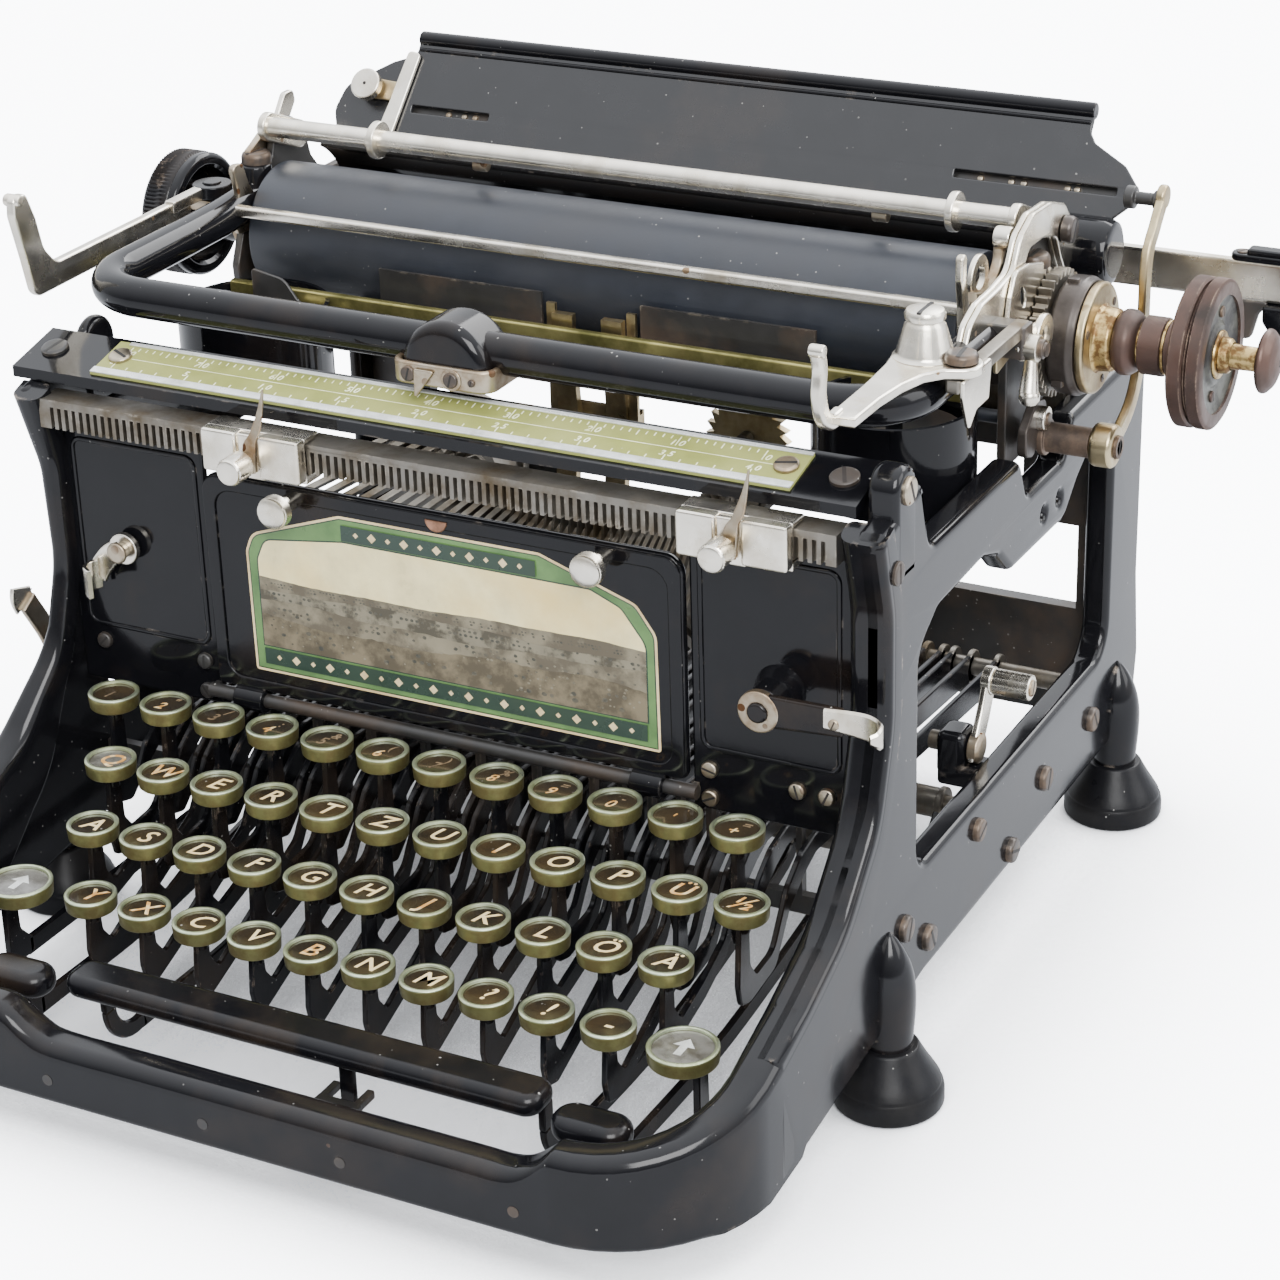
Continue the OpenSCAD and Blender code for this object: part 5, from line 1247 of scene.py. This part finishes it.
# ---------------------------------------------------------------- carriage frame
@piece("front_tube_bent", "carriage", ["front_tube"], "black_enamel", 60)
def front_tube(shape):
    path = [(134, 40, 198), (134, -1, 198)]
    path += [(p.x, p.y, 198) for p in ring_points((114, -1), 20, 0, -90, 14)[1:]]
    path += [(p.x, p.y, 198) for p in ring_points((-110, -1), 20, -90, -180, 14)]
    path += [(-130, 30, 198), (-130.6, 50, 198), (-132.6, 74, 198)]
    shape.add(bar(path, disc_section(6, 28)), ENAMEL)
    shape.add(lathe([(0, 4.6), (0.8, 6.2), (3, 6.9), (9, 6.8), (15, 5.9), (18.2, 5.3), (19, 4.6)],
        (-133, 78, 190), UP, 28), ENAMEL)


@piece("centre_hood_cast", "carriage", ["centre_hood"], "black_enamel", 50)
def centre_hood(shape):
    arch = ring_points((-0.5, 194), 14, 0, 180, 36) + [(-14.5, 190.4), (13.5, 190.4)]
    shape.add(plate(arch, 18.5, 3.8, steps=7), ENAMEL, on_y(-31))
    loop = rounded([(-17, -32.5, 5), (16, -32.5, 5), (16, -11.5, 2), (-17, -11.5, 2)], 8)
    shape.add(plate(loop, 6.7, 0.8, [inset(loop, 2.0)], 3), NICKEL_WORN, on_z(189.3))
    shape.add(plate(inset(loop, 1.8), 1, 0.2), IRON, on_z(190.2))
    for x in (-16.2, 15.2):
        shape.add(block((x - 0.9, -15.5, 194), (x + 0.9, -11.7, 198), 0.6), NICKEL_WORN)
    shape.add(plate(ring_points((3.4, 192.5), 3.3, steps=24), 0.5, 0.25), NICKEL_WORN, on_y(-32.9))
    for x, r, y in ((-10.6, 2.3, -32.4), (3.4, 2.3, -32.8), (10, 1.1, -32.4)):
        screw(shape, (x, y, 192.5), FRONT, r, 0.8, SCREW_BROWN, 0.5)
    shape.sheet(NICKEL_WORN, on_y(-33.6), [(-8.2, 194.6, 0.6), (-8.5, 186.4, 0.3), (-7.7, 186.3, 0.3),
        (-1.5, 194.6, 0.6)], 3, 0.9, 0.3)


END_CASTING = [(62.5, 150, 4), (82, 150, 4), (86, 160, 4), (100, 163.5), (138, 163.5), (138, 197, 2),
    (113, 197, 2), (107, 204, 3), (104, 214, 5), (97, 220, 5), (88, 220, 5)]
CURVED_BAR = [(107, 203, 2), (105, 214, 5), (98, 221.5, 5), (86, 225.2, 6), (72, 226, 7), (62.5, 222, 7),
    (57, 213.4, 6), (46, 212, 8), (33, 211.4, 8), (24.5, 208, 5), (20.4, 201, 4), (20.4, 196, 2),
    (28, 194, 3), (36, 197.4, 4), (50, 201, 6), (58, 205, 5), (64, 211, 4), (69, 216.4, 4), (80, 216.2, 4),
    (91, 213.4, 5), (95, 206, 5), (100, 199, 3)]


@piece("carriage_end_castings", "carriage", ["carriage_ends"], "nickel")
def carriage_ends(shape):
    # Right end: black casting inside, curved nickel bar in two leaves outside
    shape.sheet(IRON, on_x(130.1), END_CASTING + [(72, 215, 6), (57, 208, 5), (38, 204, 3), (30, 200, 3),
        (30, 192, 2), (62.5, 190.5, 2)], 6, 2.9, 0.6)
    for x in (133.0, 134.9):
        shape.sheet(NICKEL, on_x(x), CURVED_BAR, 7, 1.75, 0.6)
    # Left end: black casting behind the barrel, thin nickel bracket on it
    shape.sheet(IRON, on_x(-133), END_CASTING + [(84, 209, 3), (76, 206, 2), (68, 197, 3), (64, 189, 4),
        (60, 180, 4)], 6, 2.9, 0.6)
    shape.sheet(NICKEL_WORN, on_x(-136), [(106, 204, 2), (104, 214, 5), (97, 220.6, 5), (88, 218.5, 5),
        (80, 214.6, 3), (76, 213, 1.5), (78, 204, 5), (80, 196, 3), (88, 200, 4), (98, 203, 4)], 6, 2.6, 0.5)
    shape.add(block((-136, 83.5, 214.4), (-130.4, 90, 216), 0.5), NICKEL_WORN)
    screw(shape, (-133, 79, 208.6), UP, 4.9, 3.9, SCREW_BROWN, 0.5)
    screw(shape, (134.5, 79, 208.2), UP, 4.6, 3.8, SCREW_BROWN, 0.8)
    shape.add(rod((134.5, 79, 204), (134.5, 79, 208.6), 3.9, 0.3), HUB_DARK)
    # Forked fingers that hold the ends of the paper rod, and the tag beside the bail
    shape.sheet(NICKEL_WORN, on_x(-130.1), [(57.6, 214.4, 2), (64, 213.2, 1.5), (66.6, 206, 5), (70, 201, 3),
        (82, 200.4, 1.5), (83, 196.4, 1.5), (71, 195.6, 3), (67, 190.4, 2), (59, 191, 2), (57, 196, 5),
        (60.6, 203.6, 6)], 6, 2.2, 0.6)
    shape.sheet(NICKEL, on_x(-138.4), [(93, 212, 2), (100, 210, 2), (109.4, 221, 2), (108.6, 225, 2),
        (103.4, 225, 2)], 5, 2, 0.5)
    shape.sheet(NICKEL, on_x(126.8), [(36.4, 223, 1.6), (40, 223.4, 1.6), (39.6, 216, 6), (42, 208, 6),
        (42.6, 199, 1.5), (38, 199, 1.5), (37.6, 208, 6), (36.2, 216, 5)], 6, 2.4, 0.7)
    # Hooked cap and curved strap in front of the bail's right end
    shape.add(rod((126.4, 68.4, 219), (131.6, 68.4, 219), 3.4, 0.8), NICKEL)
    strap = curve_through([(127.8, 68.4, 217), (127.8, 67, 211.6), (127.8, 61.5, 207), (127.8, 54, 205.8),
        (127.8, 46.5, 208)], 6)
    shape.add(bar(strap, box_section(2.8, 3.4, 0.9, 3), RIGHT), NICKEL_WORN)
    shape.ring(NICKEL, washer(3.6, 6.6, 1.6), (125.4, 55.5, 211), RIGHT, 30, 0.4)
    # Bail pivots, bearing plate with its slot, and the latch outside it
    screw(shape, (137.0, 97, 214), RIGHT, 4.1, 3.2, HUB_DARK, 0.3)
    oval = [(60.4 + 2.0 * math.cos(a) - 0.9 * math.sin(a), 205 + 3.3 * math.sin(a))
        for a in (2 * math.pi * k / 20 for k in range(20))]
    bearing = rounded([(47, 196, 1), (50.6, 208, 3), (54.6, 214.4, 3), (65, 213.6, 6), (79, 209.8, 6),
        (87.4, 203.6, 4), (88.6, 196, 3), (84, 194, 1.5), (83, 200, 4), (75.6, 200.4, 4), (73, 195, 2),
        (60, 192, 3)], 6)
    shape.add(plate(bearing, 1.5, 0.5, [oval]), NICKEL, on_x(136.8))
    shape.add(rod((137, 54.5, 195.5), (146, 54.5, 195.5), 3.6, 0.6), HUB_DARK)
    shape.ring(NICKEL, washer(3.4, 6.3, 2), (145.2, 55.5, 196.4), RIGHT, 34, 0.6)
    tab = rounded([(60, 200.4, 4), (60, 193, 4), (48, 191.6, 4), (38.4, 193.6, 5), (38.4, 201.6, 5),
        (47, 201.4, 3)], 6)
    shape.add(plate(tab, 1.6, 0.6), NICKEL, on_x(144.2))
    shape.sheet(GILT, on_x(138.6), [(48, 199.4, 1), (48, 192, 1), (36, 190, 1), (36, 200.6, 1)], 3, 1.4, 0.4)
    shape.add(knurled((146, 42.4, 197.2), RIGHT, 3.9, 4.4, 22, 0.25, 3, 0, 0.7), NICKEL)
    shape.turned(SCREW_BROWN, [(0, 2.8), (1.4, 2.8), (1.4, 2.0), (2.2, 2.0)], (150.3, 42.4, 197.2), RIGHT, 20,
        0.3)
    grip = curve_through([(148, 41.6, 194), (148.2, 40.4, 189.4), (148.4, 39, 185)], 5)
    shape.add(bar(grip, lambda i: disc_section(1.8 + 0.1 * i, 14), (0, 1, 0)), NICKEL)
    shape.add(lathe([(0, 0.6), (0.7, 2.2), (2, 3.0), (3.6, 3.0), (5, 2.2), (5.6, 0.5)], (148.4, 39.2, 180.8),
        (0, 0.2, 1), 18), NICKEL)
    # Release lever's lug, an angle plate in front and below
    shape.add(block((141.5, -7, 200), (146, 46, 204.1), 0.8), STEEL)
    shape.add(block((134.8, 38.5, 194.2), (147, 46, 203.9), 0.8), IRON)
    shape.sheet(NICKEL, on_x(145.7), [(-6.6, 204, 1), (-6.6, 199, 2), (-2, 188.4, 1), (3, 192.6, 2),
        (12, 192.6, 1), (14, 204, 1)], 3, 1.4, 0.5)
    shape.add(rod((144, -1, 203), (144, -1, 208), 2.9, 0.3), STEEL)
    screw(shape, (144, -1, 207.7), UP, 4.7, 2.6, SCREW_BROWN, 0.9)
    # Ratchet's pawl with its roller, and the boss that carries the table's arm
    shape.sheet(HUB_DARK, on_x(137.4), [(60, 156, 3), (60, 164, 3), (69, 171, 3), (76, 169, 3), (77, 162, 3),
        (66, 154, 3)], 5, 3, 0.6)
    shape.ring(NICKEL, washer(2, 3.6, 3.6), (139.4, 70.6, 165), RIGHT, 24, 0.5)
    shape.add(rod((139, 70.6, 165), (143.6, 70.6, 165), 1.9, 0.3), SCREW_BROWN)
    shape.turned(ARM_BROWN, [(0, 4.6), (4, 4.6), (4, 5.6), (6, 5.6), (6, 4.5), (19.6, 4.5), (19.6, 3.4),
        (28, 3.4)], (136, 74, 158), RIGHT, 30, 0.4)
    screw(shape, (163.2, 74, 158), RIGHT, 2.9, 0.8, NICKEL, 0.5)
    # Return lever's lug and pin
    shape.add(block((-149.5, 62.5, 195.6), (-134.8, 75, 199.5), 1), NICKEL_WORN)
    shape.add(rod((-143.5, 68, 199), (-143.5, 68, 204.5), 2.95, 0.5), LACQUER)
    # Brass edge of the trough that shows under the roller
    shape.add(bar([(-126, 50, 177), (126, 50, 177)], box_section(3, 4.6, 0.8, 3)), DULL_GILT)
    shape.sheet(IRON, on_y(40.4), [(-112, 187.6, 1), (-100, 185.4, 6), (-95, 178.6, 5), (-90, 177, 2),
        (-90, 174, 1), (-112, 174, 1)], 6, 1.2, 0.4)
    shape.add(rod((-100, 44, 174.5), (-84, 44, 173.9), 2.4, 0.4), NICKEL)


@piece("rear_rail_drawn", "carriage", ["rear_rail"], "nickel")
def rear_rail(shape):
    shape.add(block((-125, 138.1, 184), (208, 141.5, 197), 1.5), NICKEL)
    stop = rounded([(175, 135.6, 3), (206, 135.6, 2), (206, 142.4, 2), (175, 142.4, 3)], 5)
    shape.add(plate(stop, 2.2, 0.6), ENAMEL, on_z(197.1))
    shape.add(block((180, 136.2, 198.6), (206, 141.8, 201), 0.9), ENAMEL)
    screw(shape, (178.4, 139, 199.2), UP, 1.9, 0.5, SCREW_BROWN, 0.2)
    foot = rounded([(186, 184, 1), (186, 179, 3), (190.5, 173, 5), (197, 172, 3), (204, 173.6, 3),
        (204, 184, 1)], 6)
    shape.add(plate(foot, 6.2, 1.1), ENAMEL, on_y(135.2))
    shape.sheet(IRON, on_y(138.2), [(176.5, 184.6, 1), (176.5, 172, 2), (182, 172, 2), (184, 180, 3),
        (188, 184.6, 1)], 4, 3, 0.8)


@piece("paper_rod_drawn", "carriage", ["paper_rod"], "nickel")
def paper_rod(shape):
    shape.add(bar([(-129.6, 56.5, 200), (123, 56.5, 200)], box_section(3.4, 3.5, 0.9, 3)), NICKEL)
    shape.add(rod((122, 56.5, 200), (130, 56.5, 200), 1.2, 0.2), IRON)


@piece("paper_table_pressed", "carriage", ["paper_table"], "black_enamel")
def paper_table(shape):
    outline = rounded([(-104, 46), (-104, 40, 3), (-112, 37, 3), (-127.6, 27.4, 7), (-130, 18.5, 6),
        (-126, 8, 6), (-118, -3), (129.5, -3), (129.5, 1.5), (134, 3.5, 2), (142, 12, 4), (149, 19, 3),
        (149, 24, 4), (144, 30, 3), (133, 36, 3), (131, 39, 2), (131, 46)], 6)
    slots = [rounded(oblong(a, b, 20.5, 22.8, 0.4), 2) for a, b in ((-101, -72), (91, 143))]
    shape.add(plate(outline, 1.6, 0.5, slots), TABLE_ENAMEL, table_face(-1.6))
    shape.add(rod(on_paper_table((-104, 46, -1)), on_paper_table((131, 46, -1)), 2.6, 0.6, 32), ENAMEL)
    ridge = [(x, 42, -0.25) for x in (-103.4, 130.4)]
    shape.add(rod(on_paper_table(ridge[0]), on_paper_table(ridge[1]), 0.75, 0.4, 18), ENAMEL)
    for a, b, bits in ((-102, -71, (-88, -82, -78)), (90, 144, (99, 109, 113, 127, 130))):
        shape.add(plate(oblong(a, b, 18, 25), 0.6, 0.1), IRON, table_face(-3.4))
        for x in bits:
            shape.add(lathe([(0, 1.1), (0.7, 0.9), (0.9, 0.2)], on_paper_table((x, 21.6, -2.8)),
                on_paper_table(UP) - on_paper_table((0, 0, 0)), 12), NICKEL_WORN)
    # Black shoulder beside the table's foot, and the pan behind the roller
    shape.add(rod((119, 115, 202), (146.8, 115, 202), 10.4, 3.4, 40), ENAMEL)
    pan = [(p.x, p.y) for p in ring_points(ROLLER, 27, 62, 24, 10)]
    outside = [tuple(c + (v - c) * 1.07 for c, v in zip(ROLLER, q)) for q in reversed(pan)]
    shape.add(plate(pan + outside, 240, 0.5), ENAMEL, on_x(-118))


@piece("paper_guide_pressed", "paper_guide", ["paper_guide"], "nickel")
def paper_guide(shape):
    shape.sheet(NICKEL, table_face(0.3), [(-111.6, 7, 2), (-105.6, 7, 2), (-101.6, 40.2, 1.5),
        (-106.4, 40.8, 1.5)], 4, 1.5, 0.5)
    shape.sheet(GILT, table_face(0.3), [(-120, 23.4, 2.5), (-106, 23, 1.5), (-105.6, 29.6, 2), (-112, 30, 4),
        (-121, 30.6, 3)], 5, 1.2, 0.4)
    start = on_paper_table((-117, 26.6, 1.3))
    out = on_paper_table(UP) - on_paper_table((0, 0, 0))
    shape.turned(NICKEL, [(0, 3.2), (1.6, 3.2), (1.7, 5.0), (4.8, 5.3), (5.2, 4.9), (5.25, 0.7)], start, out,
        40, 0.4)
    # Painted shade: a thin dark disc stands for the knob's shaded centre hole
    shape.add(lathe([(0, 0.6), (0.06, 0.6)], start + out * 5.22, out, 12), SLOT_SHADE)


@piece("paper_bail_turned", "paper_bail", ["paper_bail"], "nickel")
def paper_bail(shape):
    shape.add(rod((-129.5, 80, 221), (129.5, 80, 221), 3.2, 0.5, 32), NICKEL)
    for x in (-88, 108):
        shape.ring(NICKEL, washer(3, 6, 2.5), (x, 80, 221), RIGHT, 40, 0.6)
    arm = rounded([(p.x, p.y) for p in ring_points((80, 221), 4.6, 68, 248, 12)
        + ring_points((97, 214), 4.6, -112, 68, 12)], 1)
    for x, pin, pin_end in ((-129.7, -137, -127), (126.9, 126.9, 137)):
        shape.add(plate(arm, 2.8, 0.7), NICKEL, on_x(x))
        shape.add(rod((pin, 97, 214), (pin_end, 97, 214), 2.4, 0.3), STEEL)
    for x in (-52, 84):
        shape.add(rod((x - 2.4, 84.6, 215.6), (x + 2.4, 84.6, 215.6), 2.2, 0.5, 20), NICKEL_WORN)
        shape.add(rod((x, 84.6, 215.6), (x, 81.6, 219.4), 0.9, 0.2, 12), NICKEL_WORN)


# ---------------------------------------------------------------- platen and its knobs
def about_roller(radius, a):
    """(y, z) at an angle about the roller's axis."""
    return ROLLER[0] + radius * math.cos(a), ROLLER[1] + radius * math.sin(a)


@piece("platen_roller", "platen", ["platen"])
def platen_roller(shape):
    shape.add(lathe([(0, 4.6), (0.05, 19.6), (0.5, 20.7), (1.3, 21), (60, 21), (120, 21), (190, 21),
        (242.7, 21), (243.5, 20.7), (243.95, 19.6), (244, 4.6)], (-126, *ROLLER), RIGHT, 96), PLATEN_RUBBER)
    for x in (-126.7, 118.1):
        shape.ring(NICKEL_WORN, washer(4.6, 15.4, 0.6), (x, *ROLLER), RIGHT, 48, 0.2)
    shape.add(rod((-165.8, *ROLLER), (180, *ROLLER), 4.5, 0.5, 28), STEEL)


@piece("ratchet_wheel_cut", "platen", ["ratchet_wheel"], "steel")
def ratchet_wheel(shape):
    teeth = []
    for k in range(36):
        a = math.radians(10 * k)
        for r, turn in ((17.0, -3.2), (18.9, -0.9), (19.0, 0.9), (17.0, 3.4)):
            teeth.append(about_roller(r, a + math.radians(turn)))
    shape.add(plate(teeth, 4, 0.3, [ring_points(ROLLER, 5.0, steps=24)], 2), STEEL, on_x(138.6))
    shape.ring(HUB_DARK, [(0, 4.7), (0, 14.2), (1.6, 16.6), (2.4, 17.4), (7.6, 17.6), (8.8, 16.9),
        (9.5, 16.7), (9.6, 4.7)], (142.4, *ROLLER), RIGHT, 72, 0.5)
    for a in (100, 215, 340):
        y, z = about_roller(17.5, math.radians(a))
        shape.add(block((145.2, y - 1, z - 1), (148.6, y + 1, z + 1), 0.3), HUB_DARK)


@piece("knob_left_moulded", "platen", ["knob_left"])
def knob_left(shape):
    ribs = [(0, 15.6), (0, 19.5), (0.8, 20.5), (4.6, 20.5), (8.5, 20.5), (9.2, 19.7), (9.2, 15.6)]
    shape.add(lathe(ribs, (-168, *ROLLER), RIGHT, 184, True, lambda i, k: 0.55 if 1 < i < 5 and k % 2 else 0),
        LACQUER)
    shape.ring(ENAMEL, [(0, 15.6), (0, 19.6), (0.5, 20.2), (2.6, 20.3), (3.8, 19.2), (4, 16.9), (2.6, 15.6)],
        (-158.9, *ROLLER), RIGHT, 72, 0.5)
    shape.ring(ENAMEL, [(0, 4.6), (0, 15.8), (3, 15.8), (3.2, 4.6)], (-166.4, *ROLLER), RIGHT, 60, 0.5)
    shape.ring(LACQUER, [(0, 4.7), (0, 9), (9, 9), (11, 7.6), (27.1, 7.4), (27.1, 4.7)], (-163.6, *ROLLER),
        RIGHT, 48, 0.6)
    shape.ring(NICKEL_WORN, washer(4.7, 8.6, 2.4), (-140.6, *ROLLER), RIGHT, 40, 0.5)
    shape.turned(NICKEL_WORN, [(0, 0.5), (0, 5.2), (1.4, 4.6), (1.6, 0.5)], (-166.3, *ROLLER), LEFT, 32, 0.4)


@piece("knob_right_turned", "platen", ["knob_right"], "old_nickel")
def knob_right(shape):
    def ring(profile, x, paint, radius=0.4, sides=64):
        shape.ring(paint, profile, (x, *ROLLER), RIGHT, sides, radius)

    ring([(0, 4.7), (0, 16.2), (0.7, 16.4), (2.2, 16.4), (2.7, 15.6), (2.7, 4.7)], 152.1, GILT)
    for k in range(3):
        a = math.radians(38 + 120 * k)
        screw(shape, (154.7, *about_roller(13, a)), RIGHT, 1.3, 0.35, SCREW_BROWN, a)
    ring([(0, 4.7), (0, 10.4), (0.8, 9.5), (4.6, 9.2), (5.6, 8.2), (5.6, 4.7)], 154.7, FLECKED_BRASS)
    ring([(0, 4.7), (0, 8.4), (1.6, 9.7), (4.2, 9.6), (6.2, 8.2), (6.8, 6.6), (6.8, 4.7)], 160.2, KNOB_BROWN,
        0.8)
    ring([(0, 4.7), (0, 6.0), (0.7, 6.4), (1.6, 5.4), (1.6, 4.7)], 166.6, FLECKED_BRASS)
    shape.add(knurled((168, *ROLLER), RIGHT, 8.6, 6.8, 36, 0.34, 5, 4.7, 0.5), KNOB_BROWN)
    ring([(0, 4.7), (0, 8.0), (0.9, 8.0), (0.9, 4.7)], 174.8, FLECKED_BRASS, 0.2)
    shape.add(knurled((175.7, *ROLLER), RIGHT, 8.1, 4.4, 36, 0.28, 4, 4.7, 0.4), KNOB_BROWN)
    # Two knurled rims with a groove between, and the dished face
    ring([(0, 4.7), (0, 17.4), (1.4, 18.6), (1.6, 4.7)], 179.9, KNOB_BROWN, 0.6)
    shape.add(knurled((181, *ROLLER), RIGHT, 21.8, 4.6, 104, 0.46, 5, 16, 0.9), KNOB_BROWN)
    ring([(0, 15), (0, 19.6), (1.8, 19.6), (1.8, 15)], 185.0, KNOB_BROWN, 0.1, 96)
    shape.add(knurled((186.3, *ROLLER), RIGHT, 21.8, 4.6, 104, 0.46, 5, 17.2, 1.2), KNOB_BROWN)
    ring([(0, 4.15), (0, 17.4), (1.6, 17.4), (1.0, 15.8), (0.5, 12.6), (0.5, 9.8), (1.4, 8.6), (1.6, 4.15)],
        188.6, KNOB_FACE, 0.4, 72)
    ring([(0, 4.12), (0, 7.2), (0.7, 6.9), (0.9, 4.12)], 190.1, FLECKED_BRASS, 0.25)
    ring([(0, 4.12), (0, 5.4), (2.4, 5.0), (3.2, 4.12)], 190.9, FLECKED_BRASS, 0.3)
    for a, paint in ((75, SCREW_BROWN), (255, KNOB_BROWN)):
        screw(shape, (189.2, *about_roller(12.2, math.radians(a))), RIGHT, 1.7, 0.7, paint, 1.0)


@piece("clutch_plunger_turned", "plunger", ["clutch_plunger"])
def clutch_plunger(shape):
    shape.turned(FLECKED_BRASS, [(0, 3.9), (5, 3.85), (9, 3.6), (14, 3.5), (15, 3.9), (16.6, 3.9)],
        (187.4, *ROLLER), RIGHT, 32, 0.3)
    shape.turned(KNOB_BROWN, [(0, 3.6), (0.3, 8.2), (1.2, 9.4), (2.4, 9.2), (4.2, 7.2), (5.2, 4.4),
        (5.6, 1.6), (5.65, 0.3)], (202.3, *ROLLER), RIGHT, 48, 0.8, 4)
    # Painted shade: a thin dark disc stands for the plunger's shaded centre hole
    shape.add(lathe([(0, 1.3), (0.08, 1.3)], (207.85, *ROLLER), RIGHT, 14), SLOT_SHADE)


# ---------------------------------------------------------------- carriage levers
@piece("return_lever_forged", "return_lever", ["return_lever"], "nickel")
def return_lever(shape):
    blade = rounded([(57, 195.4, 3), (57, 202.6, 5), (50, 203, 3), (-14.6, 203, 5), (-19.6, 208.6, 8),
        (-22, 219, 10), (-25.4, 227.4, 2.5), (-31.6, 228.4, 2.5), (-32.4, 222, 5), (-28.8, 207.6, 10),
        (-26.4, 196.6, 4), (-24, 194.8, 3)], 8)
    shape.add(plate(blade, 3.2, 0.9, steps=4), NICKEL, on_x(-147.4))
    shape.add(rod((-149.2, -29.4, 226.2), (-143.2, -29.4, 226.2), 2.0, 0.9, 20), NICKEL)
    shape.add(block((-147.2, 46, 199.9), (-143, 66, 203.8), 0.7), NICKEL)
    shape.ring(LACQUER, washer(3.1, 6.5, 4), (-143.5, 68, 199.9), UP, 32, 0.5)


@piece("release_lever_forged", "release_lever", ["release_lever"], "nickel")
def release_lever(shape):
    web = ring_points((144, -1), 6.2, -75, 100, 12)
    web += ring_points((133, 0), 9.4, 80, 176, 10)
    web += [(125.4, -10), (126.2, -24), (126.6, -50)]
    web += [(134.4, -50), (134.6, -34), (135.8, -22), (138.2, -13), (142, -8.4)]
    shape.add(plate(web, 3.0, 0.8, [ring_points((144, -1), 3.15, steps=20)], 3), NICKEL, on_z(204.4))
    finger = curve_through([(-46, 206), (-52, 206.2), (-56.6, 209.6), (-58.6, 216), (-57.8, 222.5),
        (-59.2, 227.6)], 6)
    shape.add(plate(strip(finger, 4.3), 3.2, 0.9, steps=3), NICKEL, on_x(126.4))
    shape.add(rod((125.8, -59.2, 228), (130.2, -59.2, 228), 1.8, 0.7, 18), NICKEL)
    shape.add(lathe([(0, 8.9), (0.7, 8.9), (1.3, 8.2), (2, 7.9), (9.4, 5.7), (10.2, 4.9), (10.9, 4.8),
        (11.2, 5.6), (12.6, 5.7), (13.6, 5.1), (14.0, 3.2), (14.05, 0.4)], (133, 0, 206.9), UP, 44), NICKEL)
    # Painted shade: a thin dark block on top stands for the shaded screw slot
    shape.add(block((132.4, -4.8, 220.4), (133.6, 4.8, 221.02), 0.1), SLOT_SHADE)


@piece("table_arm_forged", "table_arm", ["table_arm"], "gilt")
def table_arm(shape):
    path = curve_through([(74, 158), (90, 166), (98, 182), (99.6, 206), (106, 215), (113, 222.4)], 7)
    outline = strip(path, 5)
    shape.add(plate(outline, 2.6, 0.7), GILT, on_x(160))
    shape.add(plate(ring_points((112.6, 222), 3.6, steps=24), 2.7, 0.8), GILT, on_x(159.95))
    shape.ring(GILT, [(0, 3.55), (0, 6), (1, 6.5), (6, 6.5), (6.9, 5.7), (6.9, 3.55)], (156.1, 74, 158),
        RIGHT, 36, 0.5)
    shape.turned(IRON, [(0, 1.4), (0.6, 3.4), (3.4, 3.4), (3.6, 1.9), (9, 1.9), (9.2, 2.8), (10.4, 2.8)],
        (149.8, 112, 221), RIGHT, 22, 0.4)
